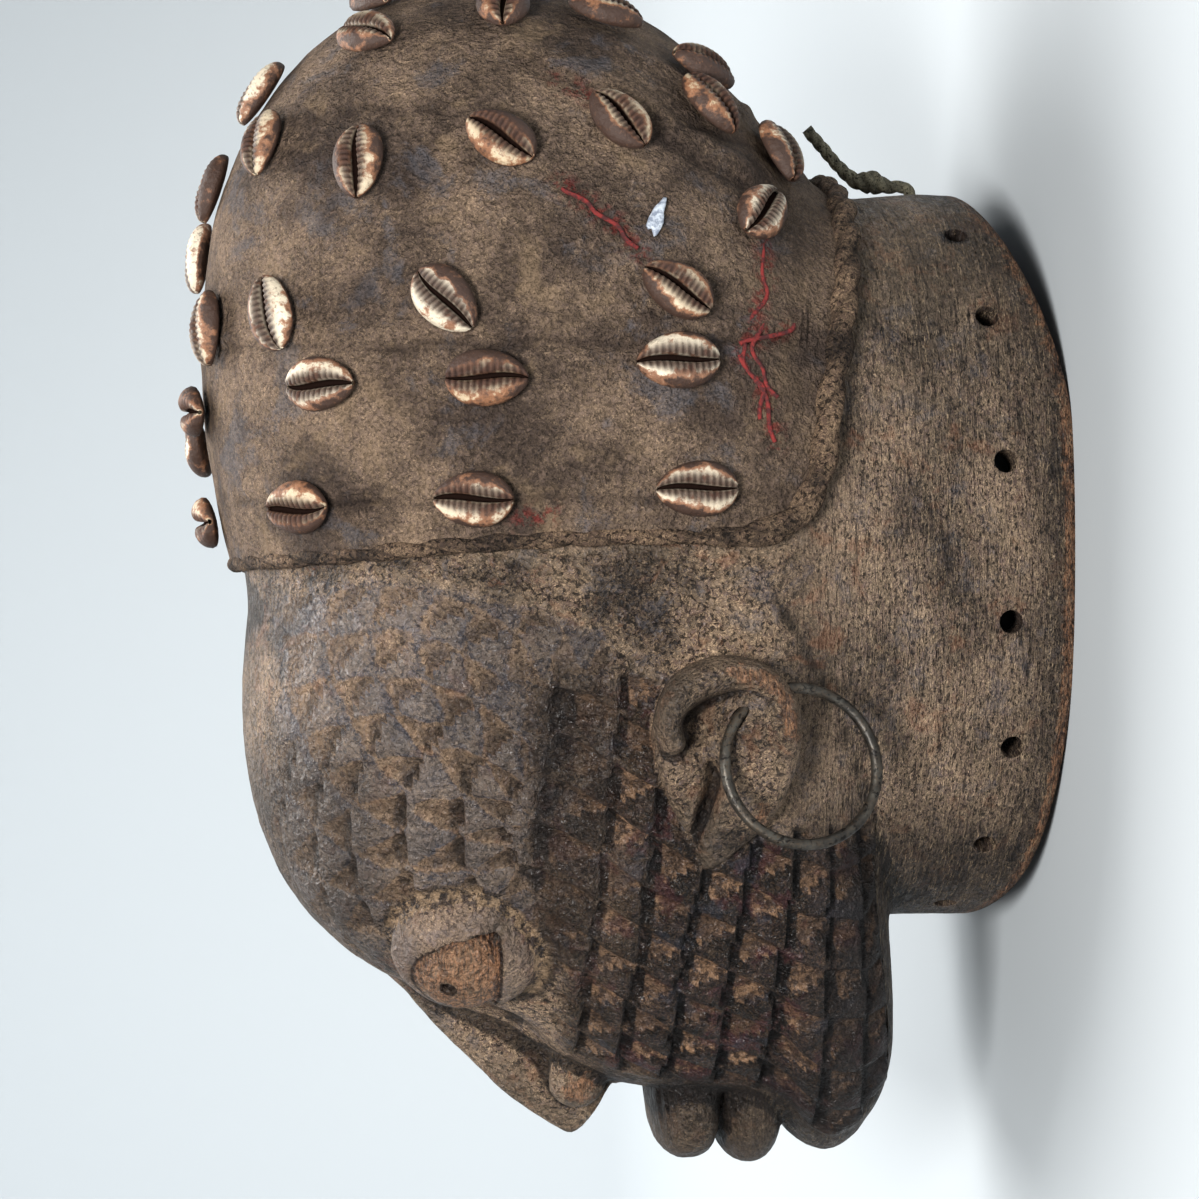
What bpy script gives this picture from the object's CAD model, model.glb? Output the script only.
# %% [markdown]
# A gelede mask is a carved wooden helmet: a face with bulging eyes and block-like lips, cheeks
# covered with small raised scales, a stiff cloth cap sewn with cowrie shells, a wire ring in
# each ear and a row of lacing holes round the neck. This file rebuilds one in Blender.
# Everything is worked out in millimetres and turned into metres when a mesh is made.

import math

import bpy
import numpy as np
from mathutils import Matrix, Vector


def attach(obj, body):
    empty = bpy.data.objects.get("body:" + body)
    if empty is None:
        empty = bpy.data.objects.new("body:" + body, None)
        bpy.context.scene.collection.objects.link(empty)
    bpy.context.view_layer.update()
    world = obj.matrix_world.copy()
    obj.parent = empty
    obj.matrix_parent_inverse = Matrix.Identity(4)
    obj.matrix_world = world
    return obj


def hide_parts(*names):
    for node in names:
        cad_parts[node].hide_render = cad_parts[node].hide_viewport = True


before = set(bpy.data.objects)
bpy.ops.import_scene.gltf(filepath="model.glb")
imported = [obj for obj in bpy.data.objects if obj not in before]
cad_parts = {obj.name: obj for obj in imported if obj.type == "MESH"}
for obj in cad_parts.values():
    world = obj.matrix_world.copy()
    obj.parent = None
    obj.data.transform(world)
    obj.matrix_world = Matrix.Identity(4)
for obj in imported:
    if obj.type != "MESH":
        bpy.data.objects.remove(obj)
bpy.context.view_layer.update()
MM = 0.001

# %% [markdown]
# The camera comes first, because every later choice is judged through it. The mask was
# photographed from its own left side, a little from above, with the picture turned so that
# the crown points left. A long lens a metre away keeps the side view nearly flat. A camera
# could be aimed with a Track To constraint, but writing its three axes as a matrix also sets
# the roll, and leaves nothing live behind.

# %% Camera
AIM = Vector((0.0, -7.5, 118.0)) * MM
CAMERA_RISE = math.radians(7.0)
CAMERA_DISTANCE = 1.0
SENSOR_WIDTH = 36.0
FOCAL_SHARE = 3450.0 / 1199.0
FOCAL_LENGTH = FOCAL_SHARE * SENSOR_WIDTH

picture_right = Vector((math.sin(CAMERA_RISE), 0.0, -math.cos(CAMERA_RISE)))
picture_up = Vector((0.0, 1.0, 0.0))
towards_camera = picture_right.cross(picture_up)
camera_data = bpy.data.cameras.new("camera")
camera_data.lens = FOCAL_LENGTH
camera_data.sensor_width = SENSOR_WIDTH
camera = bpy.data.objects.new("camera", camera_data)
axes = Matrix((picture_right, picture_up, towards_camera)).transposed().to_4x4()
camera.matrix_world = Matrix.Translation(AIM + towards_camera * CAMERA_DISTANCE) @ axes
bpy.context.collection.objects.link(camera)
bpy.context.scene.camera = camera
print("lens", round(FOCAL_LENGTH, 1), "mm")

# %% [markdown]
# Nearly every piece of this mask is a skin over rings of points, so a few helpers make all the
# meshes. They close the ends with a pole or join the last ring to the first, and they turn
# the faces outwards by the sign of the enclosed volume. Blender can recalculate normals
# afterwards, but this way a mesh is right from the start.

# %% Small helpers for meshes
def link_mesh(name, points, faces):
    """A mesh object from points in millimetres and a list of faces."""
    mesh = bpy.data.meshes.new(name)
    mesh.from_pydata((np.asarray(points) * MM).tolist(), [], faces)
    mesh.update()
    mesh.shade_smooth()
    piece = bpy.data.objects.new(name, mesh)
    bpy.context.collection.objects.link(piece)
    return piece


def ring_quads(rings, sides, first=0):
    """Quads between neighbouring rings of equally many points, closed round each ring."""
    i, j = np.meshgrid(np.arange(rings - 1), np.arange(sides), indexing="ij")
    a = first + i * sides + j
    b = first + i * sides + (j + 1) % sides
    return np.stack([a, b, b + sides, a + sides], axis=-1).reshape(-1, 4)


def fan(centre, first, sides, flip=False):
    """Triangles from one point to a ring of points."""
    j = np.arange(sides)
    a = first + j
    b = first + (j + 1) % sides
    pair = [b, a] if flip else [a, b]
    return np.stack([np.full(sides, centre), *pair], axis=-1)


def signed_volume(points, faces):
    """Sum over a fan of triangles in each face of their signed tetrahedra with the origin."""
    total = 0.0
    for k in range(1, faces.shape[1] - 1):
        a, b, c = points[faces[:, 0]], points[faces[:, k]], points[faces[:, k + 1]]
        total += np.einsum("ij,ij->i", a, np.cross(b, c)).sum() / 6.0
    return total


def closed_piece(name, rings, first_pole, last_pole):
    """A closed skin over a stack of rings, with a pole at each end, faces outwards."""
    count, sides = rings.shape[:2]
    points = np.vstack([rings.reshape(-1, 3), first_pole, last_pole])
    quads = ring_quads(count, sides)
    end = count * sides
    caps = np.vstack([
        fan(end, 0, sides, flip=True),
        fan(end + 1, end - sides, sides),
    ])
    if signed_volume(points, quads) + signed_volume(points, caps) < 0:
        quads = quads[:, ::-1]
        caps = caps[:, ::-1]
    return link_mesh(name, points, quads.tolist() + caps.tolist())


def looped_piece(name, rings):
    """A closed skin over rings whose last one is joined to the first again."""
    count, sides = rings.shape[:2]
    points = rings.reshape(-1, 3)
    quads = ring_quads(count + 1, sides) % (count * sides)
    if signed_volume(points, quads) < 0:
        quads = quads[:, ::-1]
    return link_mesh(name, points, quads.tolist())


def keep_values(piece, name, values):
    """Stores one number for each point of a piece, for its material to read."""
    attribute = piece.data.attributes.new(name, "FLOAT", "POINT")
    attribute.data.foreach_set("value", np.asarray(values, dtype=np.float32))


print("3 rings of 4 points make", len(ring_quads(3, 4)), "quads")

# %% [markdown]
# The studio is a pale floor that bends up into a wall behind the mask, so there is no
# horizon line. It could be a plane and a wall, but one swept sheet has no corner for a
# shadow to break on. It is a profile of straight, quarter circle and straight, carried
# along Y. A broad light from above and behind brightens the crown, a smaller one beside the
# camera picks out the carving, and a weak one falls on the wall alone.

# %% Backdrop and lights
FLOOR_FRONT = 900.0
FLOOR_BACK = -900.0
SWEEP_RADIUS = 380.0
WALL_TOP = 1500.0
BACKDROP_HALF = 1500.0
BEND_POINTS = 25

bend = np.radians(np.linspace(0.0, 90.0, BEND_POINTS))
profile_x = np.concatenate([[FLOOR_FRONT], FLOOR_BACK - SWEEP_RADIUS * np.sin(bend)])
profile_z = np.concatenate([[0.0], SWEEP_RADIUS * (1.0 - np.cos(bend))])
profile_x = np.append(profile_x, profile_x[-1])
profile_z = np.append(profile_z, WALL_TOP)
steps = len(profile_x)
sweep = np.zeros((2, steps, 3))
sweep[:, :, 0] = profile_x
sweep[:, :, 2] = profile_z
sweep[0, :, 1] = BACKDROP_HALF
sweep[1, :, 1] = -BACKDROP_HALF
sweep_faces = [[i, i + 1, steps + i + 1, steps + i] for i in range(steps - 1)]
backdrop = link_mesh("backdrop", sweep.reshape(-1, 3), sweep_faces)


def area_light(name, place, target, size, watts, colour):
    """A square soft light at `place`, turned to `target`, both in metres."""
    data = bpy.data.lights.new(name, "AREA")
    data.shape = "SQUARE"
    data.size = size
    data.energy = watts
    data.color = colour
    lamp = bpy.data.objects.new(name, data)
    lamp.location = place
    lamp.rotation_euler = (Vector(target) - Vector(place)).to_track_quat("-Z", "Y").to_euler()
    bpy.context.collection.objects.link(lamp)


# Each light has a place, a target, a size, a power and a colour.
LIGHTS = {
    "overhead": ((-0.5, 0.15, 1.15), (0.03, 0.0, 0.1), 0.8, 21.0, (1.0, 0.99, 0.97)),
    "front": ((1.05, -0.05, 0.68), (0.0, 0.0, 0.12), 0.35, 21.0, (1.0, 0.985, 0.96)),
    "backdrop light": ((-0.5, -0.6, 0.95), (-1.2, -0.6, 0.35), 0.6, 7.5, (0.97, 0.99, 1.0)),
}
SKY_COLOUR = (0.86, 0.93, 1.0, 1.0)
SKY_STRENGTH = 0.1

for name, settings in LIGHTS.items():
    area_light(name, *settings)
world = bpy.data.worlds.new("studio")
world.use_nodes = True
sky = world.node_tree.nodes["Background"]
sky.inputs["Color"].default_value = SKY_COLOUR
sky.inputs["Strength"].default_value = SKY_STRENGTH
bpy.context.scene.world = world
bpy.context.scene.view_settings.view_transform = "Standard"
print("backdrop points", len(backdrop.data.vertices))

# %% [markdown]
# The head is one solid form that a carver rounds off a block. Here it is a formula: a
# number that is negative inside the wood, zero on its surface and positive outside. Such
# fields can be joined with a soft fillet, which a stack of separate spheres can't do without
# a seam. The first helpers blend fields and curves and make an even noise in space.

# %% Blending helpers
def smoothstep(start, end, x):
    """0 before start, 1 after end, and the cubic 3t^2 - 2t^3 between."""
    t = np.clip((x - start) / (end - start), 0.0, 1.0)
    return t * t * (3.0 - 2.0 * t)


def join(a, b, width):
    """The smaller of two fields, with a fillet about `width` wide where they are equal."""
    h = np.maximum(width - np.abs(a - b), 0.0) / width
    return np.minimum(a, b) - h * h * width / 4.0


def keep_inside(a, b, width):
    """The part of field a that lies inside field b, with a rounded edge."""
    return -join(-a, -b, width)


def curve_through(pairs):
    """A cubic Hermite curve through [place, value] pairs, level with its neighbours."""
    places, values = np.array(pairs, dtype=float).T
    last = len(places) - 1
    before = np.maximum(np.arange(last + 1) - 1, 0)
    after = np.minimum(np.arange(last + 1) + 1, last)
    slopes = (values[after] - values[before]) / (places[after] - places[before])

    def curve(x):
        i = np.clip(np.searchsorted(places, x) - 1, 0, last - 1)
        step = places[i + 1] - places[i]
        t = np.clip((x - places[i]) / step, 0.0, 1.0)
        t2, t3 = t * t, t * t * t
        return (
            values[i] * (2 * t3 - 3 * t2 + 1)
            + slopes[i] * step * (t3 - 2 * t2 + t)
            + values[i + 1] * (3 * t2 - 2 * t3)
            + slopes[i + 1] * step * (t3 - t2)
        )

    return curve


def curve_round(angle, radius):
    """A closed curve of radius against angle, with two points repeated at each end."""
    turn = 2.0 * math.pi
    angles = np.concatenate([angle[-2:] - turn, angle, angle[:2] + turn])
    radii = np.concatenate([radius[-2:], radius, radius[:2]])
    return curve_through(np.stack([angles, radii], axis=-1))


def soft_noise(points, size, seed):
    """Value noise from -1 to 1: random heights on a lattice `size` wide, blended smoothly."""
    table = np.random.default_rng(seed).uniform(-1.0, 1.0, 4096)
    cell = points / size
    base = np.floor(cell).astype(np.int64)
    t = smoothstep(0.0, 1.0, cell - base)
    total = np.zeros(points.shape[:-1])
    for corner in np.ndindex(2, 2, 2):
        at = base + np.array(corner)
        value = table[(at[..., 0] * 73 + at[..., 1] * 1789 + at[..., 2] * 613) % 4096]
        share = np.prod(np.where(np.array(corner) == 1, t, 1.0 - t), axis=-1)
        total += share * value
    return total


print("a quarter of the way up a step:", smoothstep(0.0, 1.0, 0.25).round(3))

# %% [markdown]
# The two simple fields come first: the egg of the head on a drawn middle profile, and the
# upright column of the neck. Both measure along a ray from their middle, so their walls can
# be made thinner or thicker by adding millimetres.

# %% Head and neck as fields
CORE_Y = 30.0
CORE_Z = 106.0
MIDDLE_PROFILE = [
    (-60, 45.5), (-111, 37), (-142, 36.5), (-157, 42.5), (-166, 52.5), (-164, 61), (-156, 68),
    (-150, 80), (-148, 100), (-145, 116), (-139, 131), (-129, 149), (-119.5, 169), (-112, 184.5),
    (-101.5, 198), (-87, 209), (-68, 217), (-37, 221), (-7, 219.2), (20, 225), (45, 228.7),
    (75, 228.5), (100, 225.5), (122, 217), (140, 205), (155, 188), (164, 165), (165, 140),
    (158.5, 115), (146.5, 95.5), (130, 79.5), (110.5, 65), (88, 52), (30, 36),
]
HEAD_HALF_WIDTH = 93.0
LOWEST_ANGLE = math.radians(-36.0)


def profile_angle(y, z):
    """The angle about the core in the middle plane, from the face upwards over the crown."""
    angle = np.arctan2(z - CORE_Z, CORE_Y - y)
    return np.where(angle < LOWEST_ANGLE, angle + 2.0 * math.pi, angle)


profile_y, profile_z = np.array(MIDDLE_PROFILE, dtype=float).T
profile_radius = curve_round(
    profile_angle(profile_y, profile_z), np.hypot(profile_y - CORE_Y, profile_z - CORE_Z),
)


def head_field(x, y, z):
    """Length from the core less the length at which a rounded section is reached.

    The section is |u|^n + |v|^n = 1, where u is the share of the middle profile's radius and
    v the share of the half width.
    """
    dy, dz = y - CORE_Y, z - CORE_Z
    length = np.sqrt(x * x + dy * dy + dz * dz)
    jaw = smoothstep(100, 50, z) * smoothstep(-20, -110, y)
    n = 2.3 + 0.3 * smoothstep(0.2, 0.8, -dy / length)
    u = np.hypot(dy, dz) / profile_radius(profile_angle(y, z))
    v = np.abs(x) / (HEAD_HALF_WIDTH * (1.0 - 0.08 * jaw))
    return length - length / (u**n + v**n) ** (1.0 / n)


NECK_Y = 5.5
NECK_HALF_WIDTH = 88.0
NECK_HALF_LENGTH = 104.5
NECK_POWER = 2.3
NECK_LEAN = 0.022
RIM_FLAT = 35.0


def neck_field(x, y, z):
    """The same idea in plan: a column with a superellipse section, its back leaning in."""
    dy = (y - NECK_Y) * np.where(y > NECK_Y, 1.0 + NECK_LEAN * smoothstep(25, 65, z), 1.0)
    u = np.abs(x) / NECK_HALF_WIDTH
    v = np.abs(dy) / NECK_HALF_LENGTH
    length = np.hypot(x, dy)
    return length - length / (u**NECK_POWER + v**NECK_POWER) ** (1.0 / NECK_POWER)


def rim_height(y):
    """The rim's underside: level along the sides, higher at the front and the back."""
    t = np.clip((np.abs(y - NECK_Y) - RIM_FLAT) / (NECK_HALF_LENGTH - RIM_FLAT), 0.0, 1.0)
    return np.where(y > NECK_Y, 19.0 * t**1.5, 6.0 * t**1.5 + 8.0 * t**8)


print("neck", 2.0 * NECK_HALF_WIDTH, "mm wide and", 2.0 * NECK_HALF_LENGTH, "mm long")

# %% [markdown]
# The nose is a rounded wedge with two wings, the lips are two blunt bars and each eye is a
# bulge that looks forward and to the side, with a broad lid drawn over the ball. All of them
# are made of stretched ellipsoids and joined to the head with a narrow fillet, as the
# carver's gouge leaves one.

# %% Nose, lips and eyes
def ellipsoid_field(x, y, z, radii, power=2.0):
    """(|x/a|^p + |y/b|^p + |z/c|^p)^(1/p) - 1, times the smallest radius."""
    a, b, c = radii
    total = np.abs(x / a) ** power + np.abs(y / b) ** power + np.abs(z / c) ** power
    return (total ** (1.0 / power) - 1.0) * min(radii)


nose_ridge = curve_through([
    (118, -162.5), (124, -162), (129.5, -160.8), (144, -151), (155, -140.5), (170, -125),
    (184, -108),
])


def nose_field(x, y, z):
    """A wedge behind the ridge line, cut below by a slanting plane, plus wings and nostrils."""
    half_width = 13.0 - 4.0 * smoothstep(124, 176, z)
    u = np.abs(x) / half_width
    v = np.maximum(0.0, nose_ridge(z) + 30.0 - y) / 30.0
    beyond = 2.0 * np.maximum(0.0, z - 180.0) + np.maximum(0.0, y + 60.0)
    wedge = ((u**1.7 + v**1.7) ** (1.0 / 1.7) - 1.0) * 12.0 + beyond
    underside = (122.5 - (y + 160.0) * 0.575 - z) * 0.87
    wings = ellipsoid_field(np.abs(x) - 15.0, y + 143.5, z - 126.5, (8, 9, 8.5))
    nose = join(keep_inside(wedge, underside, 3.0), wings, 2.0)
    nostril = ellipsoid_field(np.abs(x) - 8.5, y + 149.0, z - 118.5, (4, 5.5, 4))
    return keep_inside(nose, -nostril, 1.5)


# Each lip has a height, three half sizes and the power of its superellipsoid.
LIP_Y = -150.0
UPPER_LIP = (94.0, (29, 18.4, 9.6), 2.7)
LOWER_LIP = (75.8, (28, 20.3, 10), 2.4)
LIP_GAP_FILLET = 0.6


def lip_field(x, y, z):
    """Two blunt superellipsoids that meet in a sharp line."""
    upper, lower = [
        ellipsoid_field(x, y - LIP_Y, z - height, radii, power)
        for height, radii, power in (UPPER_LIP, LOWER_LIP)
    ]
    return join(upper, lower, LIP_GAP_FILLET)


EYE_CENTRE = Vector((55.2, -103.4, 165.0))
EYE_OUT = Vector((0.7, -0.69, 0.19)).normalized()
EYE_ACROSS = Vector((-EYE_OUT.y, EYE_OUT.x, 0.0)).normalized()
EYE_UP = EYE_OUT.cross(EYE_ACROSS)
HALF_OPENING = 17.0
LID_SHIFT = (1.0, -3.5)
LID_RADII = (19.5, 20.5, 12.6)
BALL_RADII = (16.5, 16, 13.2)


def eye_frame(x, y, z):
    """Distances from the eye's centre across, up and out, the same for both eyes."""
    px, py, pz = np.abs(x) - EYE_CENTRE.x, y - EYE_CENTRE.y, z - EYE_CENTRE.z
    return [px * d.x + py * d.y + pz * d.z for d in (EYE_ACROSS, EYE_UP, EYE_OUT)]


def eye_opening(a, b):
    """Negative between the two lids: an upper bow, a flatter lower one, and two corners."""
    bow = np.clip(1.0 - (a / HALF_OPENING) ** 2, 0.0, 1.0)
    above = b - (-12.0 + 22.0 * bow**0.6)
    below = -12.0 - 2.5 * bow - b
    return np.maximum(np.maximum(above, below), np.abs(a) - HALF_OPENING)


def eye_field(x, y, z):
    """The ball, and the lid where it isn't open."""
    a, b, c = eye_frame(x, y, z)
    lid = ellipsoid_field(a - LID_SHIFT[0], b - LID_SHIFT[1], c, LID_RADII)
    ball = ellipsoid_field(a, b + 2.5, c - 0.3, BALL_RADII)
    return np.minimum(ball, keep_inside(lid, -eye_opening(a, b), 1.0))


def hollow(x, y, z, place, reach, depth):
    """A soft dent: depth times exp(-(distance / reach)^2)."""
    q = (
        ((np.abs(x) - place[0]) / reach[0]) ** 2
        + ((y - place[1]) / reach[1]) ** 2
        + ((z - place[2]) / reach[2]) ** 2
    )
    return depth * np.exp(-q)


# Dents by the nose's root, before the ear and under the ear: place, reach and depth.
DENTS = [
    ((25, -128, 149), (10, 12, 13), 5.0),
    ((90, -40, 101), (12, 6, 8), 5.0),
    ((88, -53, 71), (14, 20, 7), 3.5),
]
NECK_FADE = 100.0
NECK_FILLET = 11.0
NOSE_FILLET = 3.0
LIP_FILLET = 2.0
EYE_FILLET = 1.5


def face_field(x, y, z):
    """Everything that the outside of the wood is made of, except the ears."""
    neck = neck_field(x, y, z) + np.maximum(0.0, z - NECK_FADE)
    d = join(head_field(x, y, z), neck, NECK_FILLET)
    for place, reach, depth in DENTS:
        d = d + hollow(x, y, z, place, reach, depth)
    d = join(d, nose_field(x, y, z), NOSE_FILLET)
    d = join(d, lip_field(x, y, z), LIP_FILLET)
    return join(d, eye_field(x, y, z), EYE_FILLET)


HEAD_WALL = 15.0
FACE_EXTRA_WALL = 14.0
NECK_WALL = 10.5
CAVITY_FILLET = 14.0


def cavity_field(x, y, z):
    """The hollow for the wearer's head: the head and neck less the thickness of the wall."""
    wall = HEAD_WALL + FACE_EXTRA_WALL * smoothstep(30, 170, CORE_Y - y)
    neck = neck_field(x, y, z) + NECK_WALL + np.maximum(0.0, z - NECK_FADE)
    return join(head_field(x, y, z) + wall, neck, CAVITY_FILLET)


print("eyes look towards", [round(part, 2) for part in EYE_OUT])

# %% [markdown]
# To turn the field into a mesh, rays go out from a core point inside the head through the
# points of a cage that wraps round it. On each ray the outermost zero of the field is found
# by stepping inwards and then halving. Blender could remesh a volume instead, but rays give
# rows and columns that follow the carving, so the small scales come out crisp.

# %% Rays from the core
RAY_START = 240.0
RAY_END = 30.0
RAY_STEP = 3.0
HALVINGS = 14


def reach_along(field, direction):
    """Distance from the core to the outermost place where the field turns negative."""
    def at(r, d):
        return field(d[:, 0] * r, CORE_Y + d[:, 1] * r, CORE_Z + d[:, 2] * r)

    inside = np.full(len(direction), RAY_START)
    active = np.arange(len(direction))
    while len(active):
        still_out = (at(inside[active], direction[active]) > 0) & (inside[active] > RAY_END)
        active = active[still_out]
        inside[active] -= RAY_STEP
    outside = inside + RAY_STEP
    for _ in range(HALVINGS):
        middle = (inside + outside) / 2.0
        out = at(middle, direction) > 0
        outside = np.where(out, middle, outside)
        inside = np.where(out, inside, middle)
    return inside


def directions_to(points):
    """Unit vectors from the core to the points."""
    d = points - np.array([0.0, CORE_Y, CORE_Z])
    return d / np.linalg.norm(d, axis=-1, keepdims=True)


def on_surface(field, direction, lift=0.0):
    """The surface points in these directions, pushed out by `lift`."""
    flat = direction.reshape(-1, 3)
    r = reach_along(field, flat).reshape(direction.shape[:-1]) + lift
    return direction * r[..., None] + np.array([0.0, CORE_Y, CORE_Z])


up = np.array([[0.0, 0.0, 1.0]])
print("the crown is at", on_surface(face_field, up).round(1), "mm")

# %% [markdown]
# The cage is a plain shape round the head that says where the rows and columns of the mesh
# run. Columns are counted in millimetres along the outline in plan, and rows from the rim up
# to the crown. An even grid on a sphere would put too few points on the face and too many on
# the crown.

# %% The cage of rows and columns
CAGE_HALF_WIDTH = 92.0
CAGE_FRONT = 178.0
CAGE_BACK = 133.0
CAGE_POWER = 2.4
CAGE_TOP = 232.0
SHOULDER = 131.0
JAW_EDGE = 44.0


def wall_outline(t):
    """The cage in plan: a superellipse, longer to the front than to the back."""
    side = np.clip(np.sin(t), 0.0, 1.0) ** (2.0 / CAGE_POWER)
    along = np.abs(np.cos(t)) ** (2.0 / CAGE_POWER)
    y = np.where(np.cos(t) > 0, CORE_Y - CAGE_FRONT * along, CORE_Y + CAGE_BACK * along)
    return CAGE_HALF_WIDTH * side, y


def neck_outline(t, inset=0.0):
    """The neck in plan, or its inner wall with an inset."""
    side = np.clip(np.sin(t), 0.0, 1.0) ** (2.0 / NECK_POWER)
    along = np.abs(np.cos(t)) ** (2.0 / NECK_POWER) * np.sign(np.cos(t))
    return (NECK_HALF_WIDTH - inset) * side, NECK_Y - (NECK_HALF_LENGTH - inset) * along


TURN_STEPS = 720

turn_table = np.linspace(0.0, math.pi, TURN_STEPS + 1)
outline_x, outline_y = wall_outline(turn_table)
outline_steps = np.hypot(np.diff(outline_x), np.diff(outline_y))
outline_lengths = np.concatenate([[0.0], np.cumsum(outline_steps)])
HALF_OUTLINE = outline_lengths[-1]


def turn_at(u):
    """The turn at which the outline has the length |u| from the middle of the face."""
    return np.interp(np.abs(u), outline_lengths, turn_table)


def cage_points(u, row):
    """Points of the cage: row 0 rim, 1 neck top, 2 jaw edge, 3 shoulder, 4 crown."""
    t = turn_at(u)
    side = np.where(u < 0, -1.0, 1.0)
    wall_x, wall_y = wall_outline(t)
    neck_x, neck_y = neck_outline(t)
    to_back = smoothstep(215, 330, np.abs(u))
    neck_top = 34.0 + 22.0 * to_back
    wall_foot = JAW_EDGE + 38.0 * to_back
    low = np.clip(row, 0.0, 1.0)
    middle = np.clip(row - 1.0, 0.0, 1.0)
    high = np.clip(row - 2.0, 0.0, 1.0)
    rise = np.radians(90.0 * np.clip(row - 3.0, 0.0, 1.0))
    x = neck_x + (wall_x - neck_x) * middle
    y = neck_y + (wall_y - neck_y) * middle
    z = rim_height(neck_y) * (1.0 - low) + neck_top * low
    z = np.where(row > 1.0, neck_top + (wall_foot - neck_top) * middle, z)
    z = np.where(row > 2.0, wall_foot + (SHOULDER - wall_foot) * high, z)
    z = z + (CAGE_TOP - SHOULDER) * np.sin(rise)
    x = x * np.cos(rise)
    y = CORE_Y + (y - CORE_Y) * np.cos(rise)
    return np.stack([side * x, y, z], axis=-1)


print("half outline", round(float(HALF_OUTLINE), 1), "mm")

# %% [markdown]
# The cheeks carry rows of small raised triangles. Each stands on its base, which is
# undercut, and the chips between them are sunk. On the temple the same cells follow arcs
# round a point in front of the ear, and they are worn almost flat. Both patterns are one
# formula on two numbers: p counts cells along a row and q counts rows, and every second row
# is shifted by half a cell. A texture could fake this, but the outline shows the steps, so
# they are in the mesh. The first helpers say what one cell looks like.

# %% Scale carving
FIRST_COLUMN = 48.0
CELL_WIDTH = 12.8
CELL_HEIGHT = 13.0
SCALE_FOOT = JAW_EDGE - 4.0
CHEEK_RISE = 1.9
CHEEK_SINK = 2.1
TEMPLE_DEPTH = 1.2
TEMPLE_CENTRE = (-68.5, 138.0)


def cell_chance(p, q, seed):
    """A steady random number from 0 to 1 for each cell."""
    table = np.random.default_rng(seed).random(1024)
    key = np.floor(p).astype(np.int64) * 37 + np.floor(q).astype(np.int64) * 101
    return table[key % 1024]


def scale_pattern(p, q, flank):
    """1 on a raised triangle, falling to its apex, and down to -1 in the sunk chips.

    Also masks of the open part of each sunk chip and of its top, under the next base.
    """
    row = np.floor(q)
    fq = q - row
    shifted = p + np.where(row % 2 == 0, 0.0, 0.5)
    s = np.abs(shifted - np.floor(shifted) - 0.5) * 2.0
    inside = 1.0 - fq - s
    chance = cell_chance(shifted, q, 11)
    raised = (0.75 + 0.4 * chance) * (1.0 - 0.7 * fq) * np.clip(inside / flank, 0.0, 1.0)
    sunk = np.clip(-inside / (1.6 * flank), 0.0, 1.0) * (0.55 + 0.5 * fq)
    chip = np.where(inside > 0, 0.0, smoothstep(0.8, 0.66, fq))
    under_base = np.where(inside > 0, 0.0, smoothstep(0.66, 0.8, fq))
    return np.where(inside > 0, raised, -sunk), chip, under_base


print("cells", CELL_WIDTH, "mm wide, rows", CELL_HEIGHT, "mm high")

# %% [markdown]
# Next come the two zones that are carved, and the rows and columns of cells on the temple. A
# zone is a soft mask made of steps in each direction, so that the pattern fades at its edges
# as it does under a carver's knife.

# %% Carved zones
def cheek_zone(x, y, z):
    """1 where the cheeks are carved: beside the mouth, in front of the ear, over the jaw."""
    back_limit = -70.0 + 42.0 * smoothstep(104, 114, z)
    top_limit = 136.0 + 10.0 * smoothstep(-110, -80, y)
    return (
        smoothstep(33, 40, np.abs(x))
        * smoothstep(back_limit + 3, back_limit - 3, y)
        * smoothstep(top_limit + 3, top_limit - 3, z)
    )


temple_back = curve_through([(110, -25), (117, -23), (139, -12.6), (182, -3.4), (212, -7.4)])


def temple_zone(x, y, z):
    """1 on the temple, between the eye, the ear, the cheek and the ridge before the cap."""
    a, b, _ = eye_frame(x, y, z)
    beside_eye = smoothstep(21.0, 25.0, np.hypot(a, b + 3.0))
    return (
        beside_eye
        * smoothstep(124, 130, z)
        * smoothstep(-112, -98, y)
        * smoothstep(temple_back(z) + 1.0, temple_back(z) - 1.5, y)
        * smoothstep(216, 206, z)
        * smoothstep(20, 34, np.abs(x))
    )


WIDE_RINGS_END = 54.0
WIDE_RING = 13.5
NARROW_RING = 9.0
INNER_CELLS_END = 40.0
INNER_CELL_DEGREES = 24.0
OUTER_CELL_DEGREES = 14.0


def temple_cells(x, y, z):
    """Cell and row numbers on the temple: rings about its centre, cut by rays."""
    dy, dz = y - TEMPLE_CENTRE[0], z - TEMPLE_CENTRE[1]
    arc = np.hypot(dy, dz)
    beyond = WIDE_RINGS_END / WIDE_RING + (arc - WIDE_RINGS_END) / NARROW_RING
    q = np.where(arc < WIDE_RINGS_END, arc / WIDE_RING, beyond)
    turn = np.degrees(np.arctan2(dz, dy))
    p = turn / np.where(arc < INNER_CELLS_END, INNER_CELL_DEGREES, OUTER_CELL_DEGREES)
    return p, q


CHEEK_FLANK = 0.2
TEMPLE_FLANK = 0.3
TEMPLE_ROWS = 40.0


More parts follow.
